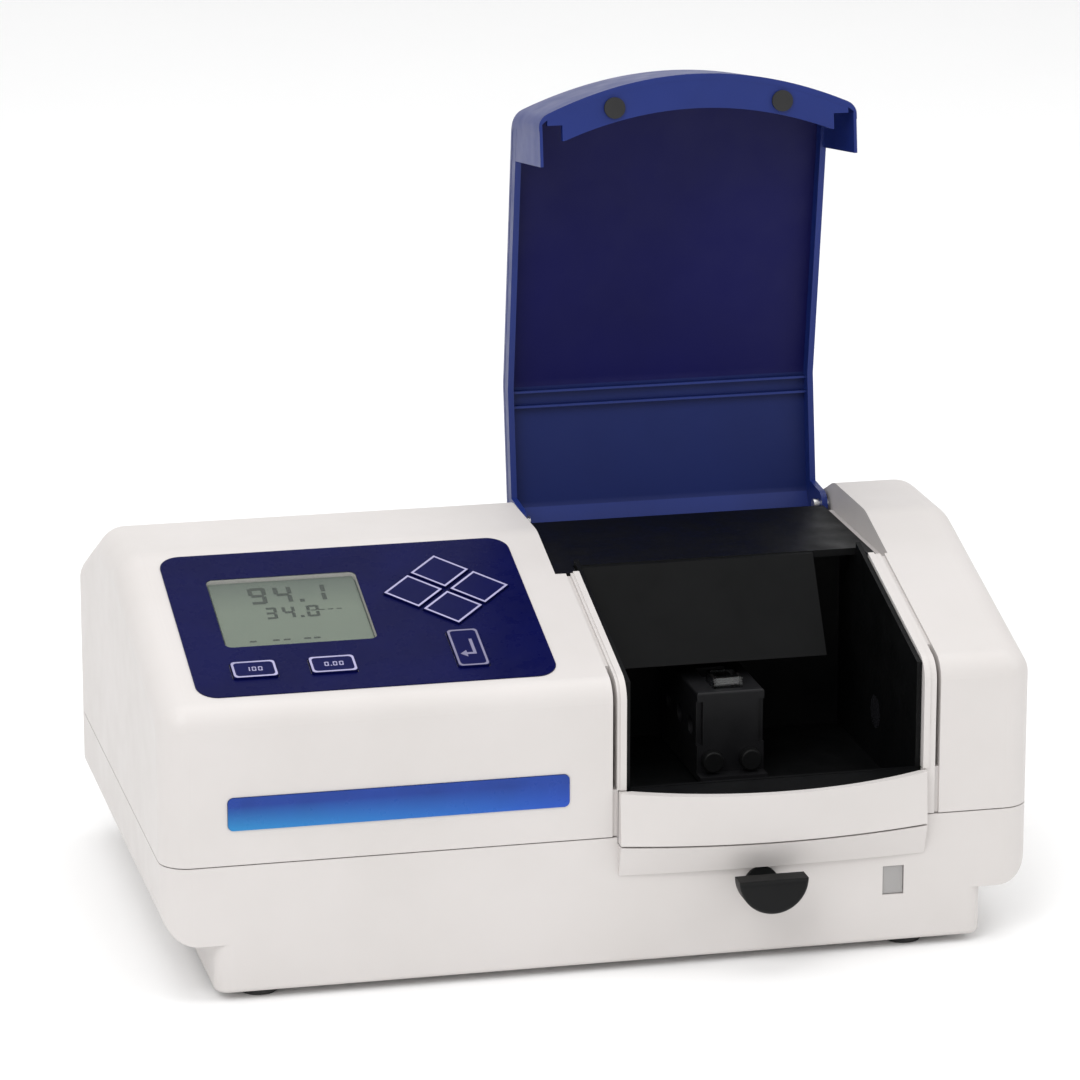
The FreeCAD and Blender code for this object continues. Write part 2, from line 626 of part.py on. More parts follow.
def rod_bush():
    sleeve = cyl_y(CHANGER_X, FRONT_Y, FRONT_Y + 9, ROD_Z, 6.0)
    flange = cyl_y(CHANGER_X, FRONT_Y - 1.5, FRONT_Y, ROD_Z, 7.4)
    return fuse([sleeve, flange]).cut(cyl_y(CHANGER_X, FRONT_Y - 2, FRONT_Y + 10, ROD_Z, ROD_R + ROD_FIT))


def pull_knob():
    disc = cyl_y(CHANGER_X, KNOB_FRONT_Y, KNOB_BACK_Y, KNOB_TOP_Z, KNOB_R)
    disc = disc.cut(box(CHANGER_X - 30, CHANGER_X + 30, KNOB_FRONT_Y - 1, KNOB_BACK_Y + 1, KNOB_TOP_Z,
                        KNOB_TOP_Z + 30))
    front = [e for e in disc.Edges if all(abs(v.Y - KNOB_FRONT_Y) < 0.01 for v in e.Vertexes)]
    disc = disc.makeFillet(2.0, front)
    return disc.cut(cyl_y(CHANGER_X, KNOB_BACK_Y - 6, KNOB_BACK_Y + 1, ROD_Z, ROD_R))


def lid_plan(inset):
    wire = arc_region(LID_X0 + inset, LID_X1 - inset, HINGE_Y + 40, LID_END_BULGE, LID_MID_BULGE, 0.0, inset)
    return Part.Face(wire).extrude(V(0, 0, 2 * TOP_Z))


def lid_outline(inset):
    """Side view of the closed lid: skirt, slope, flat and short rear drop."""
    far = FRONT_Y - 60
    crown = TOP_Z + LID_LIFT
    points = [(far, 0.0), (far, slope_z(far, -LID_LIFT)), (slope_end_y(-LID_LIFT), crown),
              (REAR_BREAK_Y + 4, crown),
              (REAR_BREAK_Y + 20, crown - 9.0), (REAR_BREAK_Y + 20, 0.0)]
    return inset_polygon(points, inset)


def lid_closed():
    rest_z = LIP_TOP_Z + LID_LIP_GAP
    hem = LID_FLANGE - LID_LIFT
    inside = TOP_Z + LID_LIFT - LID_T
    outer = lid_plan(0.0).common(prism_x(lid_outline(0.0), LID_X0, LID_X1))
    inner = lid_plan(LID_T).common(prism_x(lid_outline(LID_T), LID_X0 - 1, LID_X1 + 1))
    skirt_y = FRONT_Y - LID_END_BULGE + LID_T
    under = [(skirt_y, -1.0), (skirt_y, slope_z(skirt_y, hem)), (slope_end_y(hem), TOP_Z - hem),
             (HINGE_Y + 40, TOP_Z - hem), (HINGE_Y + 40, -1.0)]
    shell = outer.cut(inner).cut(prism_x(under, LID_X0 - 5, LID_X1 + 5))
    shell = shell.cut(box(-10, 150, FRONT_Y - 80, skirt_y + 1, -1, rest_z))
    rim_x0, rim_x1 = OPEN_X0 + 3, OPEN_X1 - 3
    rim = Part.Face(arc_region(rim_x0, rim_x1, FRONT_Y + 6, 3.4, LID_MID_BULGE - 1, rest_z))
    hole = Part.Face(arc_region(rim_x0 - 1, rim_x1 + 1, FRONT_Y + 9, -5.5, LID_MID_BULGE - LID_RIM - LID_T,
                                rest_z - 1))
    rim = rim.extrude(V(0, 0, LID_T)).cut(hole.extrude(V(0, 0, 2 * LID_T)))
    bend_y = slope_end_y(LID_T - LID_LIFT)
    ribs = [box(LID_X0 + 1, LID_X1 - 1, bend_y + d, bend_y + d + 1.4, inside - 3.6, inside + 0.4)
            for d in (1.5, 6.5)]
    ears = []
    for x0, x1 in ((LID_X0, LID_X0 + 5.0), (LID_X1 - 5.0, LID_X1)):
        ear = cyl_x(x0, x1, HINGE_Y, HINGE_Z, 6.5)
        arm = prism_x([(HINGE_Y - 6.4, HINGE_Z - 1), (HINGE_Y - 16, inside), (HINGE_Y + 4, inside - 2),
                       (HINGE_Y + 6.4, HINGE_Z + 1)], x0, x1)
        ears += [ear, arm]
    cheek_top = slope_z(CHEEK_BACK_Y, hem) + LID_T
    cheeks = [box(x0, x0 + CHEEK_T, skirt_y - LID_T, CHEEK_BACK_Y, rest_z, cheek_top)
              for x0 in (LID_X0, LID_X1 - CHEEK_T)]
    body = fuse([shell, rim] + ribs + ears + cheeks)
    return body.cut(cyl_x(LID_X0 - 1, LID_X1 + 1, HINGE_Y, HINGE_Z, HINGE_PIN_R + HINGE_FIT))


def opened(shape):
    """Swing a shape drawn with the lid shut into the open position."""
    turned = shape.copy()
    turned.rotate(V(0, HINGE_Y, HINGE_Z), V(-1, 0, 0), LID_OPEN_DEG)
    return turned


def lid_bumpers():
    z1 = LIP_TOP_Z + LID_LIP_GAP
    mid = (LID_X0 + LID_X1) / 2
    y = FRONT_Y - 7.5
    return Part.makeCompound([opened(cyl_z(mid + d, y, z1 - BUMPER_T, z1, BUMPER_R)) for d in (-BUMPER_DX,
                                                                                               BUMPER_DX)])


def hinge_pins():
    left = cyl_x(RECESS_X0 - WALL, LID_X0 + 5.2, HINGE_Y, HINGE_Z, HINGE_PIN_R)
    right = cyl_x(LID_X1 - 5.2, RECESS_X1 + WALL, HINGE_Y, HINGE_Z, HINGE_PIN_R)
    return Part.makeCompound([left, right])


def keypad_label():
    plate = label_plate(LABEL_X0, LABEL_X1, LABEL_S0, LABEL_S1, 0.0, LABEL_T, LABEL_R)
    glass = label_plate(GLASS_X0, GLASS_X1, GLASS_S0, GLASS_S1, -1.0, LABEL_T + 1.0, 3.0)
    return plate.cut(glass).cut(Part.makeCompound(key_pockets()))


def display_window():
    return label_plate(GLASS_X0 + 0.1, GLASS_X1 - 0.1, GLASS_S0 + 0.1, GLASS_S1 - 0.1, -1.0, LABEL_T - 0.1,
                       2.9)


def lcd_panel():
    return on_slope(box(GLASS_X0 + 1, GLASS_X1 - 1, GLASS_S0 + 1, GLASS_S1 - 1, -4.2, -1.3))


def keyboard_board():
    board = box(LABEL_X0 + 6, LABEL_X1 - 4, LABEL_S0 + 6, LABEL_S1 - 4, -13.0, -11.4)
    parts = [board]
    top = LABEL_T + KEY_PROUD - KEY_PLATE_T - KEY_STEM_LEN - KEY_TRAVEL - 0.15
    for spec in key_outlines().values():
        parts.append(box(spec[0] - 3, spec[0] + 3, spec[1] - 3, spec[1] + 3, -11.5, top))
    parts.append(box(GLASS_X0 + 4, GLASS_X1 - 4, GLASS_S0 + 6, GLASS_S1 - 6, -11.5, -4.3))
    return on_slope(fuse(parts))


def badge_plate():
    return round_front(BADGE_X0 + 0.2, BADGE_X1 - 0.2, BADGE_Z0 + 0.2, BADGE_Z1 - 0.2,
                       FRONT_Y - BADGE_T / 2, FRONT_Y + BADGE_T / 2, 2.3)


def port_plug():
    return box(PORT_X0 + 0.3, PORT_X1 - 0.3, FRONT_Y + 0.8, FRONT_Y + WALL + 1.5, PORT_Z0 + 0.3,
               PORT_Z1 - 0.3)


def rubber_feet():
    feet = []
    for x, y in feet_points():
        foot = cyl_z(x, y, 0.0, PLINTH_BOTTOM_Z, 8.0)
        feet.append(foot.makeFillet(0.8, [e for e in foot.Edges if abs(e.CenterOfMass.z) < 0.01]))
    return Part.makeCompound(feet)


def case_screws():
    screws = []
    for x, y in screw_points():
        head = cyl_z(x, y, PLINTH_BOTTOM_Z + 0.2, PLINTH_BOTTOM_Z + 1.6, 3.2)
        screws.append(head.fuse(cyl_z(x, y, PLINTH_BOTTOM_Z + 1.5, FLOOR_Z + 18, 1.5)))
    return Part.makeCompound(screws)


def rear_panel():
    plate = box(PANEL_X0, PANEL_X1, PANEL_Y0, PANEL_Y1, PANEL_Z0, PANEL_Z1)
    y0, y1 = PANEL_Y0 - 1, PANEL_Y1 + 1
    cuts = [
        cyl_y(FAN_X, y0, y1, FAN_Z, FAN_BORE_R),
        box(INLET_X - 13.5, INLET_X + 13.5, y0, y1, PANEL_ROW_Z - 9.9, PANEL_ROW_Z + 9.9),
        box(SWITCH_X - 9.5, SWITCH_X + 9.5, y0, y1, PANEL_ROW_Z - 6.5, PANEL_ROW_Z + 6.5),
        box(FUSE_X - 8.0, FUSE_X + 8.0, y0, y1, FUSE_Z - 6.0, FUSE_Z + 6.0),
        box(SERIAL_X - 10.0, SERIAL_X + 10.0, y0, y1, SERIAL_Z - 5.5, SERIAL_Z + 5.5),
    ]
    for x, z in zip(SOCKET_X, (PANEL_ROW_Z, FUSE_Z)):
        cuts.append(cyl_y(x, y0, y1, z, 4.0))
    return plate.cut(Part.makeCompound(cuts))


def mains_inlet():
    flange = round_front(INLET_X - 15.5, INLET_X + 15.5, PANEL_ROW_Z - 12, PANEL_ROW_Z + 12, PANEL_Y1,
                         PANEL_Y1 + 2.0, 2.0)
    body = box(INLET_X - 13.4, INLET_X + 13.4, PANEL_Y0 - 12, PANEL_Y1 + 0.5, PANEL_ROW_Z - 9.8,
               PANEL_ROW_Z + 9.8)
    well = round_front(INLET_X - 11.7, INLET_X + 11.7, PANEL_ROW_Z - 7.7, PANEL_ROW_Z + 7.7, PANEL_Y0 - 10,
                       PANEL_Y1 + 3, 2.5)
    pins = [box(INLET_X + x - 2, INLET_X + x + 2, PANEL_Y0 - 11, PANEL_Y1 - 3.5, PANEL_ROW_Z + z - 1,
                PANEL_ROW_Z + z + 1)
            for x, z in ((-7, -2), (0, 2), (7, -2))]
    return fuse([flange, body]).cut(well).fuse(Part.makeCompound(pins))


def switch_body():
    flange = box(SWITCH_X - 11, SWITCH_X + 11, PANEL_Y1, PANEL_Y1 + 1.5, PANEL_ROW_Z - 8, PANEL_ROW_Z + 8)
    body = box(SWITCH_X - 9.4, SWITCH_X + 9.4, PANEL_Y0 - 13, PANEL_Y1 + 0.5, PANEL_ROW_Z - 6.4,
               PANEL_ROW_Z + 6.4)
    well = box(SWITCH_X - 8.2, SWITCH_X + 8.2, PANEL_Y0 - 7, PANEL_Y1 + 2, PANEL_ROW_Z - 5.2,
               PANEL_ROW_Z + 5.2)
    pivot = cyl_z(SWITCH_X, ROCKER_Y, PANEL_ROW_Z - 6.0, PANEL_ROW_Z + 6.0, ROCKER_PIN_R + ROD_FIT)
    return fuse([flange, body]).cut(well).cut(pivot)


def rocker():
    """Switch rocker, resting on its left end."""
    y = PANEL_Y1 - 1.0
    outline = [V(SWITCH_X - 7.4, y - 1, 0), V(SWITCH_X - 7.4, y + 2.4, 0), V(SWITCH_X, y + 1.2, 0),
               V(SWITCH_X + 7.4, y + 2.4, 0), V(SWITCH_X + 7.4, y - 1, 0), V(SWITCH_X, y - 4.0, 0)]
    cap = Part.Face(Part.makePolygon(outline + outline[:1])).extrude(V(0, 0, 9.4))
    cap.translate(V(0, 0, PANEL_ROW_Z - 4.7))
    cap.rotate(V(SWITCH_X, ROCKER_Y, PANEL_ROW_Z), V(0, 0, 1), 7.0)
    return fuse([cap, cyl_z(SWITCH_X, ROCKER_Y, PANEL_ROW_Z - 5.8, PANEL_ROW_Z + 5.8, ROCKER_PIN_R)])


def fuse_holder():
    flange = box(FUSE_X - 10, FUSE_X + 10, PANEL_Y1, PANEL_Y1 + 1.2, FUSE_Z - 7.5, FUSE_Z + 7.5)
    body = box(FUSE_X - 7.9, FUSE_X + 7.9, PANEL_Y0 - 30, PANEL_Y1 + 0.5, FUSE_Z - 5.9, FUSE_Z + 5.9)
    well = box(FUSE_X - 6.8, FUSE_X + 6.8, PANEL_Y0 - 28, PANEL_Y1 + 2, FUSE_Z - 4.8, FUSE_Z + 4.8)
    return fuse([flange, body]).cut(well)


def fuse_drawer():
    tray = box(FUSE_X - 6.4, FUSE_X + 6.4, PANEL_Y0 - 24, PANEL_Y1 + 2.6, FUSE_Z - 4.4, FUSE_Z + 4.4)
    tray = tray.cut(box(FUSE_X - 5.2, FUSE_X + 5.2, PANEL_Y0 - 22.5, PANEL_Y1, FUSE_Z - 3.2, FUSE_Z + 6))
    return tray.cut(box(FUSE_X - 4, FUSE_X + 4, PANEL_Y1 + 1.2, PANEL_Y1 + 3, FUSE_Z + 2.8, FUSE_Z + 5))


def serial_port():
    flange = round_front(SERIAL_X - 15.5, SERIAL_X + 15.5, SERIAL_Z - 6.2, SERIAL_Z + 6.2, PANEL_Y1,
                         PANEL_Y1 + 0.8, 1.5)
    shell = round_front(SERIAL_X - 9.8, SERIAL_X + 9.8, SERIAL_Z - 5.3, SERIAL_Z + 5.3, PANEL_Y0 - 9,
                        PANEL_Y1 + 6.5, 2.2)
    shell = shell.cut(round_front(SERIAL_X - 9.0, SERIAL_X + 9.0, SERIAL_Z - 4.5, SERIAL_Z + 4.5,
                                  PANEL_Y1 + 1.0, PANEL_Y1 + 7, 1.8))
    nuts = [cyl_y(SERIAL_X + d, PANEL_Y1 + 0.7, PANEL_Y1 + 4.5, SERIAL_Z, 2.4) for d in (-12.6, 12.6)]
    return fuse([flange, shell] + nuts)


def analog_sockets():
    sockets = []
    for x, z in zip(SOCKET_X, (PANEL_ROW_Z, FUSE_Z)):
        ring = cyl_y(x, PANEL_Y1, PANEL_Y1 + 3.0, z,
                     5.2).fuse(cyl_y(x, PANEL_Y0 - 10, PANEL_Y1 + 0.2, z, 3.9))
        sockets.append(ring.cut(cyl_y(x, PANEL_Y1 - 6, PANEL_Y1 + 4, z, 2.1)))
    return Part.makeCompound(sockets)


def fan_frame():
    body = round_front(FAN_X - FAN_HALF, FAN_X + FAN_HALF, FAN_Z - FAN_HALF, FAN_Z + FAN_HALF, FAN_Y0,
                       PANEL_Y0, 4.0)
    body = body.cut(cyl_y(FAN_X, FAN_Y0 - 1, PANEL_Y0 + 1, FAN_Z, FAN_BORE_R))
    spokes = [box(FAN_X - FAN_BORE_R - 1, FAN_X + FAN_BORE_R + 1, FAN_Y0, FAN_Y0 + 2, FAN_Z - 1.5,
                  FAN_Z + 1.5),
              box(FAN_X - 1.5, FAN_X + 1.5, FAN_Y0, FAN_Y0 + 2, FAN_Z - FAN_BORE_R - 1,
                  FAN_Z + FAN_BORE_R + 1)]
    core = cyl_y(FAN_X, FAN_Y0, FAN_Y0 + 2, FAN_Z, FAN_HUB_R)
    return fuse([body, core, cyl_y(FAN_X, FAN_Y0 + 1, FAN_Y0 + 9, FAN_Z, 1.5)] + spokes)


def fan_rotor():
    hub = cyl_y(FAN_X, FAN_Y0 + 2.8, PANEL_Y0 - 0.8, FAN_Z, FAN_HUB_R)
    blades = [hub]
    for k in range(FAN_BLADES):
        blade = box(FAN_X + FAN_HUB_R - 1, FAN_X + FAN_BORE_R - 1.2, FAN_Y0 + 7.4, FAN_Y0 + 9.0, FAN_Z - 7,
                    FAN_Z + 7)
        blade.rotate(V(FAN_X, FAN_Y0 + 8.2, FAN_Z), V(1, 0, 0), 32)
        blade.rotate(V(FAN_X, 0, FAN_Z), V(0, 1, 0), 360.0 * k / FAN_BLADES)
        blades.append(blade)
    return fuse(blades).cut(cyl_y(FAN_X, FAN_Y0 + 2, FAN_Y0 + 9.5, FAN_Z, 1.55))


def fan_guard():
    rings = [cyl_y(FAN_X, PANEL_Y1, PANEL_Y1 + 1.5, FAN_Z,
                   r).cut(cyl_y(FAN_X, PANEL_Y1 - 1, PANEL_Y1 + 3, FAN_Z, r - 1.5))
             for r in (9.0, 16.0, 23.0, 29.0)]
    bars = []
    for angle in (45, 135):
        bar = box(FAN_X - 37, FAN_X + 37, PANEL_Y1, PANEL_Y1 + 1.5, FAN_Z - 0.9, FAN_Z + 0.9)
        bar.rotate(V(FAN_X, 0, FAN_Z), V(0, 1, 0), angle)
        bars.append(bar)
    return fuse(rings + bars)


def lamp_cover():
    outer = round_front(COVER_X0, COVER_X1, COVER_Z0, COVER_Z1, BACK_Y, COVER_BACK_Y, 4.0)
    rim = [e for e in outer.Edges if min(v.Y for v in e.Vertexes) > COVER_BACK_Y - 0.01]
    outer = outer.makeFillet(2.5, rim)
    cuts = [box(COVER_X0 + 10, COVER_X1 - 10, BACK_Y - 1, COVER_BACK_Y - 2.2, COVER_Z0 + 3, COVER_Z1 - 3)]
    for k in range(9):
        z = COVER_Z0 + 8.0 + 4.4 * k
        cuts.append(box(COVER_X0 + 18, COVER_X1 - 18, COVER_BACK_Y - 5, COVER_BACK_Y + 1, z, z + 2.0))
    mid_z = (COVER_Z0 + COVER_Z1) / 2
    for x in (COVER_X0 + 5, COVER_X1 - 5):
        cuts.append(cyl_y(x, BACK_Y - 1, COVER_BACK_Y + 1, mid_z, 1.7))
        cuts.append(cyl_y(x, BACK_Y + 4, COVER_BACK_Y + 1, mid_z, 3.6))
    return outer.cut(Part.makeCompound(cuts))


def cover_screws():
    mid_z = (COVER_Z0 + COVER_Z1) / 2
    screws = []
    for x in (COVER_X0 + 5, COVER_X1 - 5):
        head = cyl_y(x, BACK_Y + 4, COVER_BACK_Y - 1.0, mid_z, 3.4)
        screws.append(head.fuse(cyl_y(x, BACK_Y - 6, BACK_Y + 5, mid_z, 1.5)))
    return Part.makeCompound(screws)


def lamp_holder():
    """Ceramic lamp socket on its folded bracket."""
    post = box(LAMP_X - 14, LAMP_X + 14, LAMP_Y - 8, LAMP_Y - 6, FLOOR_Z, 68.0)
    shelf = box(LAMP_X - 14, LAMP_X + 14, LAMP_Y - 8, LAMP_Y + 12, 64.0, 66.0)
    foot = box(LAMP_X - 14, LAMP_X + 14, LAMP_Y - 8, LAMP_Y + 8, FLOOR_Z, FLOOR_Z + 2)
    socket = round_plan(LAMP_X - 8, LAMP_X + 8, LAMP_Y - 5, LAMP_Y + 7, 65.5, 75.0, 2.0)
    return fuse([post, shelf, foot, socket])


def halogen_lamp():
    pins = [cyl_z(LAMP_X + d, LAMP_Y + 1, 75.0, 79.0, 0.6) for d in (-2.2, 2.2)]
    base = box(LAMP_X - 4.5, LAMP_X + 4.5, LAMP_Y - 1.5, LAMP_Y + 3.5, 78.0, 81.5)
    bulb = cyl_z(LAMP_X, LAMP_Y + 1, 81.0, 95.0, 5.0)
    bulb = bulb.makeFillet(3.0, [e for e in bulb.Edges if abs(e.CenterOfMass.z - 95.0) < 0.01])
    return fuse(pins + [base, bulb])


def condenser_lens():
    return cyl_y(LAMP_X, LENS_Y, LENS_Y + 5, BEAM_Z + 2, LENS_R)


def optics_base():
    plate = round_plan(BASE_X0, BASE_X1, BASE_Y0, BASE_Y1, BASE_Z0, BASE_Z1, 6.0)
    legs = [cyl_z(x, y, FLOOR_Z, BASE_Z0 + 1, 5.0) 
            for x in (BASE_X0 + 7, BASE_X1 - 7) for y in (BASE_Y0 + 7, BASE_Y1 - 12)]
    ring = box(LAMP_X - 16, LAMP_X + 16, LENS_Y - 1, LENS_Y + 6, BASE_Z1 - 1, BEAM_Z + 18)
    ring = ring.cut(cyl_y(LAMP_X, LENS_Y, LENS_Y + 5, BEAM_Z + 2, LENS_R))
    mounts = [ring.cut(cyl_y(LAMP_X, LENS_Y - 2, LENS_Y + 7, BEAM_Z + 2, LENS_R - 1.5))]
    for x, y, angle in MIRRORS:
        block = box(x - 15, x + 15, y - 12, y - 5, BASE_Z1 - 1, BEAM_Z + 16)
        block.rotate(V(x, y, BEAM_Z), V(0, 0, 1), angle)
        mounts.append(block)
    motor_bore = cyl_z(TURRET_X, TURRET_Y, BASE_Z0 - 1, BASE_Z1 + 1, 3.06)
    pinion_bore = cyl_z(TURRET_X + TURRET_GEAR_R + PINION_R + GEAR_GAP, TURRET_Y, BASE_Z0 - 1, BASE_Z1 + 1,
                        3.0)
    wheel_slot = box(WHEEL_X - WHEEL_R, WHEEL_X + WHEEL_R, WHEEL_Y - 1.0, WHEEL_Y + 4.0, BASE_Z0 - 1,
                     BASE_Z1 + 1)
    return fuse([plate] + legs + mounts).cut(Part.makeCompound([motor_bore, pinion_bore, wheel_slot]))


def slit_plate(x, y, along_x):
    """Thin upright plate with a narrow slit, on a small foot."""
    z0, z1 = BASE_Z1, BEAM_Z + 14
    if along_x:
        plate = box(x - 12, x + 12, y - 0.8, y + 0.8, z0, z1)
        foot = box(x - 12, x + 12, y - 5, y + 5, z0, z0 + 2)
        return fuse([plate, foot]).cut(box(x - 0.5, x + 0.5, y - 2, y + 2, BEAM_Z - 6, BEAM_Z + 6))
    plate = box(x - 0.8, x + 0.8, y - 12, y + 12, z0, z1)
    foot = box(x - 5, x + 5, y - 12, y + 12, z0, z0 + 2)
    return fuse([plate, foot]).cut(box(x - 2, x + 2, y - 0.5, y + 0.5, BEAM_Z - 6, BEAM_Z + 6))


def mirror(x, y, angle):
    """Round concave mirror facing the rear, its back against a post of the base."""
    disc = cyl_y(x, y - 5, y, BEAM_Z, 14.0)
    ball = Part.makeSphere(120.0, V(x, y + 118.0, BEAM_Z))
    disc = disc.cut(ball)
    disc.rotate(V(x, y, BEAM_Z), V(0, 0, 1), angle)
    return disc


def grating_table():
    disc = cyl_z(TURRET_X, TURRET_Y, BASE_Z1 + 5.4, BASE_Z1 + 7.4, 14.0)
    shaft = cyl_z(TURRET_X, TURRET_Y, BASE_Z0 - 4, BASE_Z1 + 6, 3.0)
    back = box(TURRET_X - 13, TURRET_X + 13, TURRET_Y + 3, TURRET_Y + 6, BASE_Z1 + 7.0, BASE_Z1 + 31)
    return fuse([disc, shaft, back])


def grating():
    return box(TURRET_X - 12, TURRET_X + 12, TURRET_Y - 3, TURRET_Y + 3, BASE_Z1 + 7.4, BASE_Z1 + 31)


def toothed_wheel(x, y, z0, z1, pitch_r, teeth, bore_r, phase):
    """Plain spur wheel: a disc carrying trapezoid teeth."""
    root = pitch_r - 0.9
    tip = pitch_r + 0.6
    wheel = [cyl_z(x, y, z0, z1, root)]
    width = math.pi * pitch_r / teeth * 0.42
    for k in range(teeth):
        ring = [V(root - 0.4, -width, z0), V(tip, -width * 0.55, z0), V(tip, width * 0.55, z0),
                V(root - 0.4, width, z0)]
        tooth = Part.Face(Part.makePolygon(ring + ring[:1])).extrude(V(0, 0, z1 - z0))
        tooth.rotate(V(0, 0, 0), V(0, 0, 1), phase + 360.0 * k / teeth)
        tooth.translate(V(x, y, 0))
        wheel.append(tooth)
    return fuse(wheel).cut(cyl_z(x, y, z0 - 1, z1 + 1, bore_r))


def turret_gear():
    return toothed_wheel(TURRET_X, TURRET_Y, BASE_Z1 + 0.8, BASE_Z1 + 5.4, TURRET_GEAR_R, 36, 3.0, 0.0)


def motor_pinion():
    x = TURRET_X + TURRET_GEAR_R + PINION_R + GEAR_GAP
    return toothed_wheel(x, TURRET_Y, BASE_Z1 + 0.8, BASE_Z1 + 5.4, PINION_R, 12, 2.5, 15.0)


def grating_motor():
    x = TURRET_X + TURRET_GEAR_R + PINION_R + GEAR_GAP
    can = cyl_z(x, TURRET_Y, BASE_Z0 - 22, BASE_Z0, 17.5)
    return can.cut(cyl_z(x, TURRET_Y, BASE_Z0 - 12, BASE_Z0 + 1, 2.55))


def pinion_shaft():
    x = TURRET_X + TURRET_GEAR_R + PINION_R + GEAR_GAP
    return cyl_z(x, TURRET_Y, BASE_Z0 - 10, BASE_Z1 + 5.4, 2.5)


def filter_wheel():
    wheel = cyl_y(WHEEL_X, WHEEL_Y, WHEEL_Y + 3, BEAM_Z - 2, WHEEL_R)
    holes = [cyl_y(WHEEL_X, WHEEL_Y - 1, WHEEL_Y + 4, BEAM_Z - 2, 2.5)]
    for k in range(6):
        a = math.pi / 3 * k
        holes.append(cyl_y(WHEEL_X + 12.5 * math.cos(a), WHEEL_Y - 1, WHEEL_Y + 4,
                           BEAM_Z - 2 + 12.5 * math.sin(a), 4.0))
    return wheel.cut(Part.makeCompound(holes))


def filter_shaft():
    return cyl_y(WHEEL_X, WHEEL_Y - 2, WHEEL_Y + 3, BEAM_Z - 2, 2.5).fuse(
        cyl_y(WHEEL_X, WHEEL_Y - 12, WHEEL_Y - 2, BEAM_Z - 2, 2.0))


def filter_motor():
    can = cyl_y(WHEEL_X, WHEEL_Y - 20, WHEEL_Y - 3, BEAM_Z - 2, 11.0)
    foot = box(WHEEL_X - 11, WHEEL_X + 11, WHEEL_Y - 18, WHEEL_Y - 10, BASE_Z1, BEAM_Z - 8)
    return fuse([can, foot]).cut(cyl_y(WHEEL_X, WHEEL_Y - 13, WHEEL_Y - 2, BEAM_Z - 2, 2.06))


def detector_board():
    """Upright board standing on the case floor behind the exit window."""
    board = box(149.4, 151.0, BEAM_Y - 15, BEAM_Y + 17, FLOOR_Z, BEAM_Z + 18)
    foot = box(143.0, 151.0, BEAM_Y - 15, BEAM_Y + 17, FLOOR_Z, FLOOR_Z + 3)
    return fuse([board, foot])


def photodiode():
    can = cyl_x(143.0, 149.4, BEAM_Y, BEAM_Z, 4.6)
    rim = cyl_x(148.2, 149.4, BEAM_Y, BEAM_Z, 5.6)
    return fuse([can, rim])


def main_board():
    board = box(-136.0, -22.0, -86.0, 36.0, 14.0, 15.6)
    chips = [box(-100, -78, -40, -18, 15.5, 18.5), box(-60, -40, -60, -45, 15.5, 18.0),
             box(-124, -112, -70, -40, 15.5, 27.0), box(-70, -30, 20, 30, 15.5, 26.0)]
    posts = [cyl_z(x, y, FLOOR_Z, 14.1, 3.0) for x in (-131.0, -27.0) for y in (-81.0, 31.0)]
    return fuse([board] + chips + posts)


def power_supply():
    case = round_plan(8.0, 92.0, 18.0, 82.0, FLOOR_Z, 40.0, 2.0)
    cuts = []
    for k in range(10):
        x = 16.0 + 7.0 * k
        cuts.append(box(x, x + 3.0, 28.0, 72.0, 38.8, 41.0))
    return case.cut(Part.makeCompound(cuts))


def make_nodes():
    nodes = {
        "upper_case": upper_case(),
        "lower_case": lower_case(),
        "chamber_front": chamber_front(),
        "chamber_tub": chamber_tub(),
        "rear_deck": rear_deck(),
        "beam_windows": beam_windows(),
        "cell_carriage": cell_carriage(),
        "cell_block": cell_block(),
        "holder_screws": holder_screws(),
        "cuvette": cuvette(),
        "changer_rod": changer_rod(),
        "rod_bush": rod_bush(),
        "pull_knob": pull_knob(),
        "lid": opened(lid_closed()),
        "lid_bumpers": lid_bumpers(),
        "hinge_pins": hinge_pins(),
        "keypad_label": keypad_label(),
        "display_window": display_window(),
        "lcd_panel": lcd_panel(),
        "keyboard_board": keyboard_board(),
        "badge_plate": badge_plate(),
        "port_plug": port_plug(),
        "rubber_feet": rubber_feet(),
        "case_screws": case_screws(),
        "rear_panel": rear_panel(),
        "mains_inlet": mains_inlet(),
        "switch_body": switch_body(),
        "switch_rocker": rocker(),
        "fuse_holder": fuse_holder(),
        "fuse_drawer": fuse_drawer(),
        "serial_port": serial_port(),
        "analog_sockets": analog_sockets(),
        "fan_frame": fan_frame(),
        "fan_rotor": fan_rotor(),
        "fan_guard": fan_guard(),
        "lamp_cover": lamp_cover(),
        "cover_screws": cover_screws(),
        "lamp_holder": lamp_holder(),
        "halogen_lamp": halogen_lamp(),
        "condenser_lens": condenser_lens(),
        "optics_base": optics_base(),
        "slit_plates": Part.makeCompound([slit_plate(SLIT_X, SLIT_Y, True),
                                          slit_plate(EXIT_SLIT_X, BEAM_Y, False)]),
        "mirrors": Part.makeCompound([mirror(*place) for place in MIRRORS]),
        "grating_turret": fuse([grating_table(), turret_gear()]),
        "grating": grating(),
        "motor_pinion": fuse([motor_pinion(), pinion_shaft()]),
        "grating_motor": grating_motor(),
        "filter_wheel": fuse([filter_wheel(), filter_shaft()]),
        "filter_motor": filter_motor(),
        "detector_board": detector_board(),
        "photodiode": photodiode(),
        "main_board": main_board(),
        "power_supply": power_supply(),
    }
    nodes.update(make_keys())
    return nodes


def main():
    os.makedirs("parts", exist_ok=True)
    for name, shape in make_nodes().items():
        shape.exportStep("parts/" + name + ".step")


main()
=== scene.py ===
import json
import math
import bmesh
import bpy
from bpy.props import FloatProperty, FloatVectorProperty, IntProperty, PointerProperty
from mathutils import Matrix, Vector


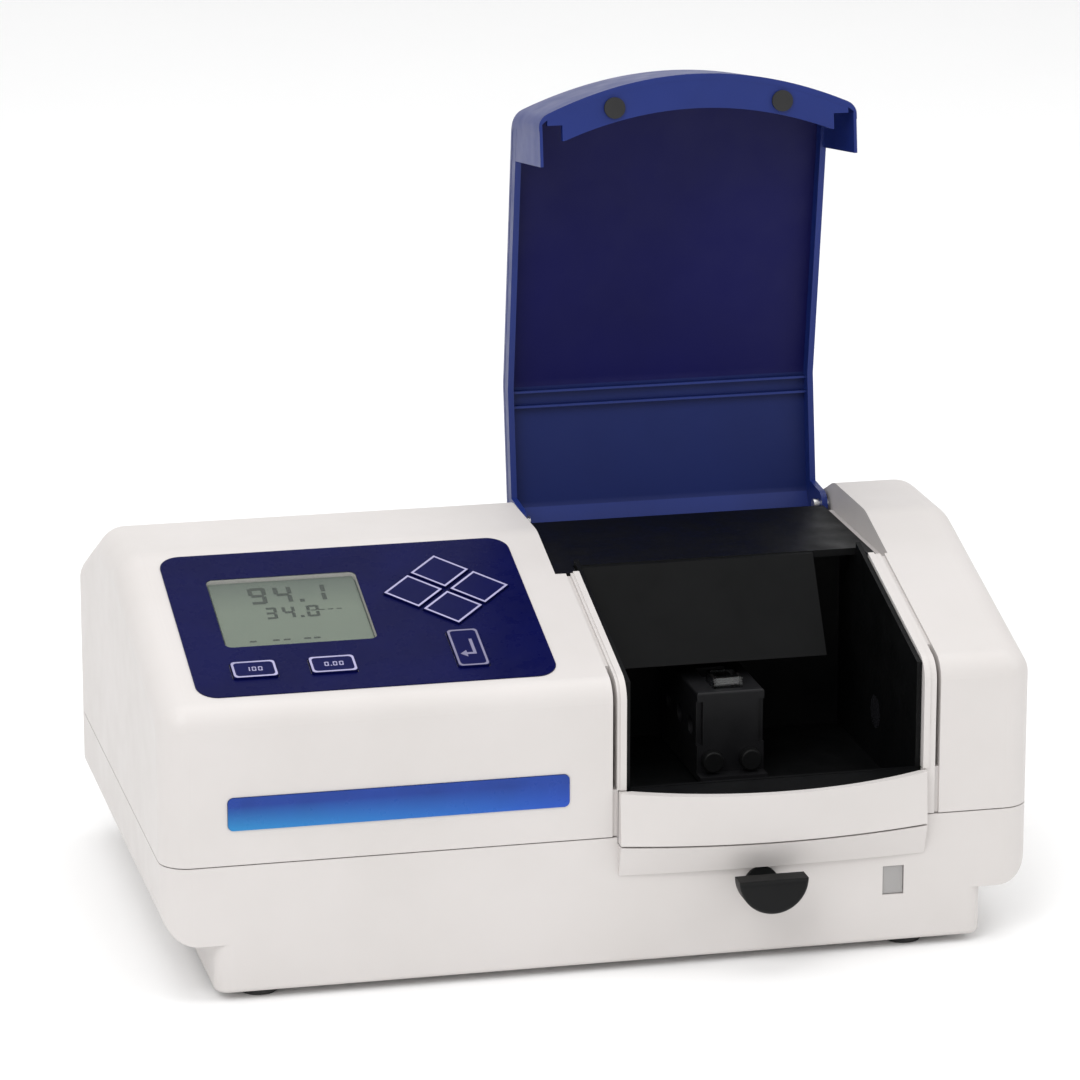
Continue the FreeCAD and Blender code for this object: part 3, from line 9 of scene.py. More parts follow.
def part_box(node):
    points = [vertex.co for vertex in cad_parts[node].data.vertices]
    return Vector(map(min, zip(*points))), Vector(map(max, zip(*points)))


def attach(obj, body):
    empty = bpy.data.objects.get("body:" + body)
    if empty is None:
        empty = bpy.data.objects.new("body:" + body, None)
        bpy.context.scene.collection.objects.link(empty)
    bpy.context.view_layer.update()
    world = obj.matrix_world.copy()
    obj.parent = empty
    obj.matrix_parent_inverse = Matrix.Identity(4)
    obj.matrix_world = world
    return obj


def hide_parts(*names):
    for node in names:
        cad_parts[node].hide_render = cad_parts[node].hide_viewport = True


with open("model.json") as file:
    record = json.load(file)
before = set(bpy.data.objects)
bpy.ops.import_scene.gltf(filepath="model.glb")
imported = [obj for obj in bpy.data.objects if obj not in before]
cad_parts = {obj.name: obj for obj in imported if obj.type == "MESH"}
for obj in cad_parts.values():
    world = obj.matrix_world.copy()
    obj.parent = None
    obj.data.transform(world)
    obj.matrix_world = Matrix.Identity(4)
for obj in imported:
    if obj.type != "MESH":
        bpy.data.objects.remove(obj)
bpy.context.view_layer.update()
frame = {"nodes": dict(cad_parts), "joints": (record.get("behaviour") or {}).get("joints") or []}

bl_info = {
    "name": "Bench spectrophotometer",
    "version": (1, 0, 0),
    "blender": (4, 5, 0),
    "location": "View3D > Sidebar > Instrument",
    "description": "Finishes and fine parts of a bench spectrophotometer with a lift-up chamber lid",
    "category": "Object",
}

# Parts that take one plain finish each, by the finish's name.
CASING_NODES = ("upper_case", "lower_case", "chamber_front")
CHAMBER_NODES = ("chamber_tub", "rear_deck")
ANODISED_NODES = ("cell_block", "cell_carriage", "slit_plates", "filter_wheel")
CONNECTOR_NODES = ("mains_inlet", "switch_body", "switch_rocker", "fuse_holder", "fuse_drawer",
                   "analog_sockets", "fan_frame", "fan_rotor")
STEEL_NODES = ("changer_rod", "hinge_pins", "case_screws", "cover_screws", "fan_guard", "power_supply")
BOARD_NODES = ("keyboard_board", "detector_board", "main_board")
ARROW_KEYS = ("key_up", "key_down", "key_left", "key_right")
TEXT_KEYS = ("key_mode", "key_zero")
START_KEY = "key_enter"

# Bars of a seven-bar digit: top, upper left, upper right, middle, lower left, lower right, bottom.
DIGIT_BARS = {"0": "1110111", "1": "0010010", "2": "1011101", "3": "1011011", "4": "0111010",
              "5": "1101011", "6": "1101111", "7": "1010010", "8": "1111111", "9": "1111011"}


# How the shut lid meets the case, in metres.
LID_SWING = math.radians(98.0)
LID_REST_GAP = 0.002
BEAD_HEIGHT = 0.0007
SLOPE_DROP = 0.03425
HINGE_TO_BACK = 0.011
BACK_DROP_RUN = 0.016
BACK_CORNER = 0.008
EAR_RADIUS = 0.0064
EAR_RADIUS_THIN = 0.0062
EAR_THROAT = 0.009
RIM_MARGIN = 0.0025
RIM_WALL = 0.0101
RIM_STANDOFF = 0.0012
RIM_REACH = 0.0055


def node_box(name):
    lo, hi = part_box(name)
    return Vector(lo), Vector(hi)


def joint(name):
    for one in frame["joints"]:
        if one["name"] == name:
            return one
    raise RuntimeError("the frame has no joint named " + name)


# ---------------------------------------------------------------- sizes and colours

class CaseSizes(bpy.types.PropertyGroup):
    slope: FloatProperty(
        name="Slope", description="Tilt of the key panel", default=math.radians(16.3),
        subtype="ANGLE", unit="ROTATION")
    edge_softness: FloatProperty(
        name="Edge softness", description="Radius on the crisp edges of the mouldings",
        default=0.0006, min=0.0, unit="LENGTH")
    lip_softness: FloatProperty(
        name="Lip softness", description="Radius on the edges of the chamber lip",
        default=0.0012, min=0.0, unit="LENGTH")


class LidSizes(bpy.types.PropertyGroup):
    skin: FloatProperty(
        name="Skin", description="Thickness of the lid's skin", default=0.0026, unit="LENGTH")
    end_bow: FloatProperty(
        name="Bow at the ends", description="How far the skirt stands off the case at its ends",
        default=0.0044, unit="LENGTH")
    mid_bow: FloatProperty(
        name="Bow in the middle", description="How far the skirt stands off the case in the middle",
        default=0.0204, unit="LENGTH")
    corner: FloatProperty(
        name="Plan corner", description="Radius where the skirt turns into its cheeks",
        default=0.0035, unit="LENGTH")
    brow: FloatProperty(
        name="Brow", description="Radius between the skirt and the sloping top", default=0.006, unit="LENGTH")
    bend: FloatProperty(
        name="Bend", description="Radius between the sloping and the flat top", default=0.02, unit="LENGTH")
    flange: FloatProperty(
        name="Flange", description="Depth of the flanges along the sides", default=0.009, unit="LENGTH")
    lift: FloatProperty(
        name="Lift", description="How far the shut lid stands above the case", default=0.0094, unit="LENGTH")
    rim: FloatProperty(
        name="Rim", description="Width of the flat rim inside the skirt's edge", default=0.0145, unit="LENGTH")
    cheek: FloatProperty(
        name="Cheek", description="Length of the cheeks behind the skirt", default=0.0204, unit="LENGTH")
    cheek_thickness: FloatProperty(
        name="Cheek thickness", description="Thickness of the cheeks", default=0.0013, unit="LENGTH")
    softness: FloatProperty(
        name="Edge softness", description="Radius on the lid's edges", default=0.0008, unit="LENGTH")
    columns: IntProperty(
        name="Columns", description="Divisions across the lid", default=48, min=12, max=120)


class PanelSizes(bpy.types.PropertyGroup):
    label_thickness: FloatProperty(
        name="Label thickness", description="Thickness of the printed label", default=0.0005, unit="LENGTH")
    key_thickness: FloatProperty(
        name="Key thickness", description="Thickness of a key cap", default=0.0016, unit="LENGTH")
    outline: FloatProperty(
        name="Outline", description="Width of the printed line round a key", default=0.0009, unit="LENGTH")
    ink: FloatProperty(
        name="Ink", description="Height of the printed marks", default=0.00006, unit="LENGTH")
    digit_height: FloatProperty(
        name="Digit height", description="Height of the large figures on the display",
        default=0.0125, unit="LENGTH")


class StageSizes(bpy.types.PropertyGroup):
    camera_turn: FloatProperty(
        name="Camera turn", description="How far the camera stands to the left of square on",
        default=math.radians(-13.077), subtype="ANGLE", unit="ROTATION")
    camera_rise: FloatProperty(
        name="Camera rise", description="How far the camera looks down", default=math.radians(15.533),
        subtype="ANGLE", unit="ROTATION")
    camera_distance: FloatProperty(
        name="Camera distance", description="From the camera to the point it looks at",
        default=2.18, unit="LENGTH")
    aim: FloatVectorProperty(
        name="Aim", description="The point that the camera looks at", default=(-0.0042, -0.014, 0.1574),
        subtype="TRANSLATION", unit="LENGTH")
    lens: FloatProperty(name="Lens", description="Focal length in millimetres", default=172.74)
    floor: FloatProperty(name="Floor", description="Half the floor's width", default=4.0, unit="LENGTH")


def colour_property(label, note, value):
    return FloatVectorProperty(name=label, description=note, default=value, size=3, min=0.0, max=1.0,
                               subtype="COLOR")


class InstrumentColours(bpy.types.PropertyGroup):
    casing: colour_property("Casing", "Warm white of the case", (0.635, 0.604, 0.588))
    casing_shade: colour_property("Casing shade", "Slightly duller patches", (0.605, 0.575, 0.556))
    lid_rim: colour_property("Lid rim", "Blue of the lid's edges", (0.010, 0.025, 0.165))
    # The next two are painted shade: darker copies of the lid's blue for the inner faces of the open lid, the
    # inner slope shaded more than the inner flat.
    lid_inside_painted_shade: colour_property("Lid inside", "Indigo inside the lid", (0.0030, 0.0032, 0.070))
    lid_flat_inside_painted_shade: colour_property("Lid flat", "Blue of the lid's flat part", (0.007, 0.016, 0.105))
    label: colour_property("Label", "Navy of the key panel", (0.0022, 0.0032, 0.045))
    outline: colour_property("Outline", "Lilac of the key outlines", (0.42, 0.40, 0.60))
    badge: colour_property("Badge", "Blue of the front strip", (0.009, 0.046, 0.29))
    badge_edge: colour_property("Badge edge", "Lighter blue low on the strip", (0.02, 0.22, 0.50))
    display: colour_property("Display", "Grey green of the display", (0.125, 0.160, 0.120))
    # Painted shade: the display's upper part is darker.
    display_painted_shade: colour_property("Display, dim", "Its darker upper part", (0.052, 0.072, 0.060))
    figures: colour_property("Figures", "Dark figures on the display", (0.012, 0.015, 0.018))
    chamber: colour_property("Chamber", "Black of the chamber", (0.0022, 0.0024, 0.0026))
    chamber_dust: colour_property("Chamber dust", "Greyer patches in the chamber", (0.0038, 0.0040, 0.0043))
    floor: colour_property("Floor", "Pale floor", (0.955, 0.955, 0.955))


class InstrumentSettings(bpy.types.PropertyGroup):
    case: PointerProperty(type=CaseSizes, name="Case", description="Sizes of the case")
    lid: PointerProperty(type=LidSizes, name="Lid", description="Sizes of the lid")
    panel: PointerProperty(type=PanelSizes, name="Panel", description="Sizes of the key panel")
    stage: PointerProperty(type=StageSizes, name="Stage", description="Camera and floor")
    colours: PointerProperty(type=InstrumentColours, name="Colours", description="Colours")


# ---------------------------------------------------------------- finishes

class Finish:
    """A node material built step by step; every pattern is laid out in the part's own metres."""

    def __init__(self, name, roughness=0.5, metallic=0.0):
        self.material = bpy.data.materials.new(name)
        self.material.use_nodes = True
        self.tree = self.material.node_tree
        self.shader = self.tree.nodes["Principled BSDF"]
        self.shader.inputs["Roughness"].default_value = roughness
        self.shader.inputs["Metallic"].default_value = metallic
        self.place = self.tree.nodes.new("ShaderNodeTexCoord").outputs["Object"]

    def link(self, source, target):
        self.tree.links.new(source, target)

    def stretched(self, scale):
        mapping = self.tree.nodes.new("ShaderNodeMapping")
        mapping.inputs["Scale"].default_value = scale
        self.link(self.place, mapping.inputs["Vector"])
        return mapping.outputs["Vector"]

    def noise(self, size, detail=3.0, stretch=None):
        """Cloudy pattern whose patches are about size across."""
        node = self.tree.nodes.new("ShaderNodeTexNoise")
        node.inputs["Scale"].default_value = 1.0 / size
        node.inputs["Detail"].default_value = detail
        self.link(self.stretched(stretch) if stretch else self.place, node.inputs["Vector"])
        return node.outputs["Fac"]

    def along(self, axis, low, high):
        """Runs from 0 at low to 1 at high along one axis of the part."""
        split = self.tree.nodes.new("ShaderNodeSeparateXYZ")
        self.link(self.place, split.inputs["Vector"])
        return self.levels(split.outputs[axis], low, high, 0.0, 1.0)

    def levels(self, source, low, high, out_low, out_high):
        node = self.tree.nodes.new("ShaderNodeMapRange")
        node.inputs["From Min"].default_value = low
        node.inputs["From Max"].default_value = high
        node.inputs["To Min"].default_value = out_low
        node.inputs["To Max"].default_value = out_high
        self.link(source, node.inputs["Value"])
        return node.outputs["Result"]

    def mix(self, factor, first, second):
        node = self.tree.nodes.new("ShaderNodeMix")
        node.data_type = "RGBA"
        self.link(factor, node.inputs["Factor"])
        for value, socket in ((first, node.inputs["A"]), (second, node.inputs["B"])):
            if isinstance(value, bpy.types.NodeSocket):
                self.link(value, socket)
            else:
                socket.default_value = (*value, 1.0)
        return node.outputs["Result"]

    def colour(self, source):
        self.link(source, self.shader.inputs["Base Color"])

    def roughness(self, source, low, high):
        self.link(self.levels(source, 0.3, 0.7, low, high), self.shader.inputs["Roughness"])

    def bump(self, source, depth, strength=1.0):
        """Raise the surface by the pattern; a second call lies over the first."""
        node = self.tree.nodes.new("ShaderNodeBump")
        node.inputs["Distance"].default_value = depth
        node.inputs["Strength"].default_value = strength
        self.link(source, node.inputs["Height"])
        normal = self.shader.inputs["Normal"]
        if normal.is_linked:
            self.link(normal.links[0].from_socket, node.inputs["Normal"])
        self.link(node.outputs["Normal"], normal)

    def put(self, socket, value):
        self.shader.inputs[socket].default_value = value
        return self


def moulded(name, colour, shade, roughness=(0.42, 0.52), texture=0.0007, depth=0.00003):
    """Moulded plastic with a fine spark-eroded texture and faint uneven colour."""
    finish = Finish(name)
    cloud = finish.noise(0.06, 4.0)
    finish.colour(finish.mix(finish.levels(cloud, 0.35, 0.7, 0.0, 1.0), colour, shade))
    finish.roughness(finish.noise(0.012, 3.0), *roughness)
    finish.bump(finish.noise(texture, 2.0), depth, 0.5)
    return finish


def printed_film(name, colour, shade, roughness=(0.24, 0.34)):
    """Satin polyester film, slightly rippled where it is glued down."""
    finish = Finish(name)
    finish.colour(finish.mix(finish.levels(finish.noise(0.03), 0.35, 0.7, 0.0, 1.0), colour, shade))
    finish.roughness(finish.noise(0.006), *roughness)
    finish.bump(finish.noise(0.015, 1.0), 0.00006, 0.3)
    return finish.put("Specular IOR Level", 0.06)


def drawn_metal(name, colour, shade, roughness, stretch=(1.0, 20.0, 20.0)):
    """Metal with fine lines along one axis and a little staining."""
    finish = Finish(name, metallic=1.0)
    lines = finish.noise(0.004, 4.0, stretch)
    finish.colour(finish.mix(finish.levels(finish.noise(0.02), 0.35, 0.7, 0.0, 1.0), colour, shade))
    finish.roughness(lines, *roughness)
    finish.bump(lines, 0.00001, 0.4)
    return finish


def shaded(colour, factor):
    return tuple(min(1.0, c * factor) for c in colour)


def dress(node, finish):
    """Give every face of a frame part this finish."""
    thing = frame["nodes"][node]
    if not thing.material_slots:
        thing.data.materials.append(finish.material)
    for slot in thing.material_slots:
        slot.material = finish.material


def soften(node, radius):
    """Round a moulding's crisp edges."""
    thing = frame["nodes"][node]
    bevel = thing.modifiers.new("soft_edges", "BEVEL")
    bevel.width = radius
    bevel.segments = 2
    bevel.limit_method = "ANGLE"
    bevel.angle_limit = math.radians(50)
    bevel.harden_normals = True


# ---------------------------------------------------------------- mesh helpers

def add_piece(name, mesh, finish, body, replaced=()):
    piece = bpy.data.objects.new(name, mesh)
    bpy.context.scene.collection.objects.link(piece)
    for one in finish if isinstance(finish, (list, tuple)) else (finish,):
        mesh.materials.append(one.material)
    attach(piece, body)
    if replaced:
        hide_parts(*replaced)
    return piece


def finished_mesh(bm, name, smooth_angle=35.0):
    bmesh.ops.recalc_face_normals(bm, faces=bm.faces)
    mesh = bpy.data.meshes.new(name)
    bm.to_mesh(mesh)
    bm.free()
    mesh.shade_smooth()
    mesh.set_sharp_from_angle(angle=math.radians(smooth_angle))
    return mesh


def add_prism(bm, outline, depth, material=0):
    """Closed prism: a ring of points, and the same ring moved by depth."""
    near = [bm.verts.new(p) for p in outline]
    far = [bm.verts.new(Vector(p) + Vector(depth)) for p in outline]
    faces = [bm.faces.new(near), bm.faces.new(far)]
    for k in range(len(near)):
        n = (k + 1) % len(near)
        faces.append(bm.faces.new((near[k], near[n], far[n], far[k])))
    for face in faces:
        face.material_index = material


def add_band(bm, outer, inner, depth, material=0):
    """Closed frame between two rings of equal length, extruded by depth."""
    rings = [[bm.verts.new(p) for p in ring] for ring in (outer, inner)]
    rings += [[bm.verts.new(Vector(p) + Vector(depth)) for p in ring] for ring in (inner, outer)]
    count = len(outer)
    for a, b in zip(rings, rings[1:] + rings[:1]):
        for k in range(count):
            n = (k + 1) % count
            bm.faces.new((a[k], a[n], b[n], b[k])).material_index = material


def rounded_corner(before, corner, after, radius, steps=6):
    """Points that replace a corner of a YZ outline by an arc."""
    p, a, b = Vector(corner), Vector(before), Vector(after)
    u, v = (a - p).normalized(), (b - p).normalized()
    half = u.angle(v) / 2
    reach = radius / math.tan(half)
    centre = p + (u + v).normalized() * (radius / math.sin(half))
    first, last = p + u * reach - centre, p + v * reach - centre
    turn = first.angle_signed(last)
    points = []
    for k in range(steps + 1):
        angle = -turn * k / steps
        c, s = math.cos(angle), math.sin(angle)
        points.append((centre.x + first.x * c - first.y * s, centre.y + first.x * s + first.y * c))
    return points


def rounded_rectangle(half_w, half_h, radius, steps=5):
    points = []
    for cx, cy, start in ((1, 1, 0.0), (-1, 1, 0.5), (-1, -1, 1.0), (1, -1, 1.5)):
        for k in range(steps + 1):
            a = math.pi * (start + 0.5 * k / steps)
            points.append((cx * (half_w - radius) + radius * math.cos(a),
                           cy * (half_h - radius) + radius * math.sin(a)))
    return points


# ---------------------------------------------------------------- case

class INSTRUMENT_OT_case(bpy.types.Operator):
    """Finish the white mouldings of the case"""
    bl_idname = "instrument.case"
    bl_label = "Case"

    def execute(self, context):
        settings = context.scene.instrument
        colours = settings.colours
        white = moulded("casing_white", colours.casing, colours.casing_shade)
        for node in CASING_NODES:
            dress(node, white)
        dress("lamp_cover", moulded("cover_white", colours.casing_shade, colours.casing))
        soften("chamber_front", settings.case.lip_softness)
        for node in ("upper_case", "lower_case", "lamp_cover"):
            soften(node, settings.case.edge_softness)
        return {"FINISHED"}


# ---------------------------------------------------------------- lid

class LidShape:
    """The lid as it lies shut, in metres, and how it swings up."""

    def __init__(self, context):
        sizes = context.scene.instrument.lid
        self.sizes = sizes
        self.slope = context.scene.instrument.case.slope
        lo, hi = node_box("lid")
        self.x0, self.x1 = lo.x, hi.x
        case_lo, case_hi = node_box("upper_case")
        front_hi = node_box("chamber_front")[1]
        self.front_y = case_lo.y + BEAD_HEIGHT
        self.top_z = case_hi.z
        self.rest_z = front_hi.z + LID_REST_GAP
        self.hinge = Vector(joint("lid_hinge")["pos_m"])
        self.open = LID_SWING
        self.slope_foot = self.top_z - SLOPE_DROP
        self.crown = self.top_z + sizes.lift
        self.hem = self.top_z + sizes.lift - sizes.flange
        self.back_y = self.hinge.y + HINGE_TO_BACK

    def slope_z(self, y, above):
        return self.slope_foot + (y - self.front_y) * math.tan(self.slope) + above / math.cos(self.slope)

    def bend_y(self, above):
        run = self.top_z + above - self.slope_foot - above / math.cos(self.slope)
        return self.front_y + run / math.tan(self.slope)

    def bow(self, x):
        """How far the skirt's outer face stands off the front of the case."""
        sizes = self.sizes
        mid, half = (self.x0 + self.x1) / 2, (self.x1 - self.x0) / 2
        u = (x - mid) / half
        off = sizes.end_bow + (sizes.mid_bow - sizes.end_bow) * (1 - u * u)
        edge = half - abs(x - mid)
        if edge < sizes.corner:
            off -= sizes.corner - math.sqrt(max(0.0, sizes.corner ** 2 - (sizes.corner - edge) ** 2))
        return off

    def profile(self, x, depth, bottom):
        """YZ points of the skin at x, depth below the outer face, from the skirt's edge to the back."""
        sizes = self.sizes
        front = self.front_y - self.bow(x) + depth
        above = sizes.lift - depth
        crown = self.crown - depth
        back = self.back_y - depth
        corners = [(front, bottom), (front, self.slope_z(front, above)), (self.bend_y(above), crown),
                   (self.back_y - BACK_DROP_RUN, crown), (back, self.hem)]
        radii = (sizes.brow - depth * 0.9, sizes.bend - depth, BACK_CORNER - depth)
        points = [corners[0]]
        for k, radius in enumerate(radii, start=1):
            points += rounded_corner(corners[k - 1], corners[k], corners[k + 1], max(radius, 0.0005))
        points.append(corners[-1])
        return points

    def columns(self):
        count = self.sizes.columns
        mid, half = (self.x0 + self.x1) / 2, (self.x1 - self.x0) / 2
        return [mid - half * math.cos(math.pi * k / count) for k in range(count + 1)]

    def swing(self, bm):
        """Turn the shut lid up about its hinge."""
        turn = (Matrix.Translation(self.hinge) @ Matrix.Rotation(-self.open, 4, "X")
                @ Matrix.Translation(-self.hinge))
        bmesh.ops.transform(bm, matrix=turn, verts=bm.verts)


def lid_skin(shape):
    """Skin of the lid: outer and inner sheets joined round their edges."""
    bm = bmesh.new()
    skin = shape.sizes.skin
    sheets = []
    for depth in (0.0, skin):
        rows = [[bm.verts.new((x, y, z)) for y, z in shape.profile(x, depth, shape.rest_z)]
                for x in shape.columns()]
        sheets.append(rows)
    outer, inner = sheets
    last = len(outer) - 1
    steps = len(outer[0])
    for rows in sheets:
        for i in range(last):
            for j in range(steps - 1):
                bm.faces.new((rows[i][j], rows[i + 1][j], rows[i + 1][j + 1], rows[i][j + 1]))
    for i in range(last):
        for j in (0, steps - 1):
            bm.faces.new((outer[i][j], outer[i + 1][j], inner[i + 1][j], inner[i][j]))
    for i in (0, last):
        for j in range(steps - 1):
            bm.faces.new((outer[i][j], outer[i][j + 1], inner[i][j + 1], inner[i][j]))
    return bm


def side_plate(shape, left, whole):
    """Flange and hinge ear of one side; the whole plate, which is thinner, takes in the cheek."""
    bm = bmesh.new()
    sizes = shape.sizes
    inset = 0.00016 if whole else 0.00012
    x = shape.x0 + inset if left else shape.x1 - inset
    hem = sizes.lift - sizes.flange
    front = shape.front_y - shape.bow(x)
    bottom = shape.rest_z if whole else shape.slope_z(front, hem)
    top = shape.profile(x, 0.0006 if whole else 0.0004, bottom)
    cheek_y = shape.front_y - sizes.end_bow + sizes.cheek
    under = [(shape.bend_y(hem), shape.hem)]
    if whole:
        under += [(cheek_y, shape.slope_z(cheek_y, hem)), (cheek_y, shape.rest_z)]
    ear = shape.hinge
    ear_r = EAR_RADIUS_THIN if whole else EAR_RADIUS
    loop = [(ear.y + ear_r * math.cos(math.pi * k / 8), ear.z - ear_r * math.sin(math.pi * k / 8))
            for k in range(9)]
    outline = top + loop + [(ear.y - EAR_THROAT, shape.hem)] + under
    thick = sizes.cheek_thickness if whole else sizes.skin
    add_prism(bm, [(x, y, z) for y, z in outline], (thick if left else -thick, 0.0, 0.0))
    return bm


def lid_rim(shape):
    """Flat bowed rim inside the skirt's free edge, deeper between the walls of the chamber."""
    bm = bmesh.new()
    sizes = shape.sizes
    xs = [x for x in shape.columns() if shape.x0 + RIM_MARGIN < x < shape.x1 - RIM_MARGIN]
    mid, half = (shape.x0 + shape.x1) / 2, (shape.x1 - shape.x0) / 2
    rise = sizes.mid_bow - sizes.end_bow
    shallow = shape.front_y - RIM_STANDOFF

    def deep(x):
        u = (x - mid) / half
        return shape.front_y - max(sizes.mid_bow - sizes.rim - rise * u * u, -RIM_REACH)

    left, right = shape.x0 + RIM_WALL, shape.x1 - RIM_WALL
    inner = [left] + [x for x in xs if left < x < right] + [right]
    front = [(x, shape.front_y - shape.bow(x) + 0.001) for x in xs]
    back = [(xs[0], shallow), (inner[0], shallow)] + [(x, deep(x)) for x in inner]
    back += [(inner[-1], shallow), (xs[-1], shallow)]
    outline = [(x, y, shape.rest_z + 0.0001) for x, y in front + list(reversed(back))]
    add_prism(bm, outline, (0.0, 0.0, sizes.skin))
    return bm


def lid_ribs(shape):
    """Two low ribs across the inside at the bend."""
    bm = bmesh.new()
    inside = shape.crown - shape.sizes.skin
    bend = shape.bend_y(shape.sizes.lift - shape.sizes.skin)
    for offset in (0.002, 0.0085):
        y = bend + offset
        ring = [(shape.x0 + 0.001, y, inside + 0.0004), (shape.x0 + 0.001, y + 0.0018, inside + 0.0004),
                (shape.x0 + 0.001, y + 0.0014, inside - 0.0034), (shape.x0 + 0.001, y + 0.0004,
                                                                  inside - 0.0034)]
        add_prism(bm, ring, (shape.x1 - shape.x0 - 0.002, 0.0, 0.0))
    return bm


def joined(first, others, name):
    """One closed mesh from overlapping closed ones."""
    objects = []
    for k, bm in enumerate([first] + others):
        bmesh.ops.recalc_face_normals(bm, faces=bm.faces)
        mesh = bpy.data.meshes.new(name + str(k))
        bm.to_mesh(mesh)
        bm.free()
        thing = bpy.data.objects.new(name + str(k), mesh)
        bpy.context.scene.collection.objects.link(thing)
        objects.append(thing)
    base = objects[0]
    for other in objects[1:]:
        union = base.modifiers.new(other.name, "BOOLEAN")
        union.operation = "UNION"
        union.solver = "EXACT"
        union.object = other
    graph = bpy.context.evaluated_depsgraph_get()
    result = bpy.data.meshes.new_from_object(base.evaluated_get(graph))
    for thing in objects:
        bpy.data.objects.remove(thing)
    return result


class INSTRUMENT_OT_lid(bpy.types.Operator):
    """Build the blue lid of the sample chamber"""
    bl_idname = "instrument.lid"
    bl_label = "Lid"

    def execute(self, context):
        colours = context.scene.instrument.colours
        shape = LidShape(context)
        sides = [side_plate(shape, left, whole) for left in (True, False) for whole in (True, False)]
        mesh = joined(lid_skin(shape), sides + [lid_rim(shape), lid_ribs(shape)], "lid_part")
        if len(mesh.polygons) < 100:
            raise RuntimeError("the lid's parts did not join")
        bm = bmesh.new()
        bm.from_mesh(mesh)
        self.sort_faces(bm, shape)
        shape.swing(bm)
        mesh = finished_mesh(bm, "lid_shell", 30.0)
        rim = moulded("lid_rim_blue", colours.lid_rim, shaded(colours.lid_rim, 0.8), (0.34, 0.44), 0.0006,
                      0.00002)
        # The inner faces of the slope and the flat top take painted shade: darker copies of the lid's blue.
        inside = moulded("lid_slope_painted_shade", colours.lid_inside_painted_shade, shaded(colours.lid_inside_painted_shade, 0.85),
                         (0.42, 0.55), 0.0006, 0.00003)
        flat = moulded("lid_flat_painted_shade", colours.lid_flat_inside_painted_shade, shaded(colours.lid_flat_inside_painted_shade, 0.85),
                       (0.40, 0.5), 0.0006, 0.00003)
        for finish, sheen in ((rim, 0.3), (inside, 0.18), (flat, 0.2)):
            finish.put("Specular IOR Level", sheen)
        piece = add_piece("lid_shell", mesh, (rim, inside, flat), "lid", ("lid",))
        bevel = piece.modifiers.new("soft_edges", "BEVEL")
        bevel.width = shape.sizes.softness
        bevel.segments = 2
        bevel.limit_method = "ANGLE"
        bevel.angle_limit = math.radians(45)
        bevel.harden_normals = True
        dress("lid_bumpers", moulded("bumper_rubber", (0.006, 0.006, 0.007), (0.011, 0.011, 0.012),
                                     (0.6, 0.75), 0.0005, 0.00004))
        return {"FINISHED"}

    def sort_faces(self, bm, shape):
        """Rim and outside keep the rim's blue; the inner faces of the top get darker blues of painted shade,
        the inner slope darker than the inner flat.
        """
        skin = shape.sizes.skin
        margin = skin * 1.05
        bend = shape.bend_y(0.0)
        for face in bm.faces:
            c = face.calc_center_median()
            inner_x = shape.x0 + margin < c.x < shape.x1 - margin
            slope_in = abs(shape.slope_z(c.y, shape.sizes.lift - skin) - c.z) < 0.0012
            flat_in = abs(shape.crown - skin - c.z) < 0.0012
            if inner_x and c.y > shape.front_y and slope_in and c.y < bend:
                face.material_index = 1
            elif inner_x and c.y >= bend - 0.004 and flat_in:
                face.material_index = 2


# ---------------------------------------------------------------- key panel

class PanelPlane:
    """The sloping panel: x across, s up the slope, n off the case."""

    def __init__(self, context, node, thickness):
        self.slope = context.scene.instrument.case.slope
        lo, hi = node_box(node)
        c, s = math.cos(self.slope), math.sin(self.slope)
        self.lo, self.hi = lo, hi
        self.length = (hi.y - lo.y - thickness * s) / c
        self.up = Vector((0.0, c, s))
        self.out = Vector((0.0, -s, c))
        back = Vector((0.0, hi.y - thickness * s, hi.z))
        self.origin = back - self.up * self.length
        self.middle = Vector(((lo.x + hi.x) / 2, 0.0, 0.0)) + self.origin + self.up * self.length / 2

    def near_middle(self, dx, ds, n=0.0):
        return self.middle + Vector((dx, 0.0, 0.0)) + self.up * ds + self.out * n


def key_cap_outline(plane, node, reach):
    """Printed ring of a key, reach in from its edge."""
    width = plane.hi.x - plane.lo.x
    if node in ARROW_KEYS:
        half = width / 2 - reach * math.sqrt(2)
        return [(half, 0.0), (0.0, half), (-half, 0.0), (0.0, -half)]
    return rounded_rectangle(width / 2 - reach, plane.length / 2 - reach, 0.0016)


def digit_shapes(text, height, thickness):
    """Bars of a row of seven-bar digits as rectangles, from 0 at the row's left and foot."""
    width = height * 0.60
    shapes = []
    x = 0.0
    lean = 0.06
    for sign in text:
        if sign == ".":
            shapes.append((x - thickness * 0.2, 0.0, thickness * 1.1, thickness * 1.1))
            x += thickness * 1.9
            continue
        if sign in DIGIT_BARS:
            half = height / 2
            t = thickness
            bars = ((x + t * 0.6, height - t, width - t * 1.2, t), (x, half + t * 0.3, t, half - t * 0.6),
                    (x + width - t, half + t * 0.3, t, half - t * 0.6), (x + t * 0.6, half - t / 2,
                                                                         width - t * 1.2, t),
                    (x, t * 0.3, t, half - t * 0.6), (x + width - t, t * 0.3, t, half - t * 0.6),
                    (x + t * 0.6, 0.0, width - t * 1.2, t))
            shapes += [bar for bar, lit in zip(bars, DIGIT_BARS[sign]) if lit == "1"]
        x += width * 1.42
    return [(bx + by * lean, by, bw, bh) for bx, by, bw, bh in shapes]


def add_marks(bm, plane, shapes, dx, ds, n, ink):
    """Lay rectangles flat on the panel, from a point beside its middle."""
    for x, s, w, h in shapes:
        ring = [plane.near_middle(dx + px, ds + ps, n)
                for px, ps in ((x, s), (x + w, s), (x + w, s + h), (x, s + h))]
        add_prism(bm, ring, plane.out * ink)


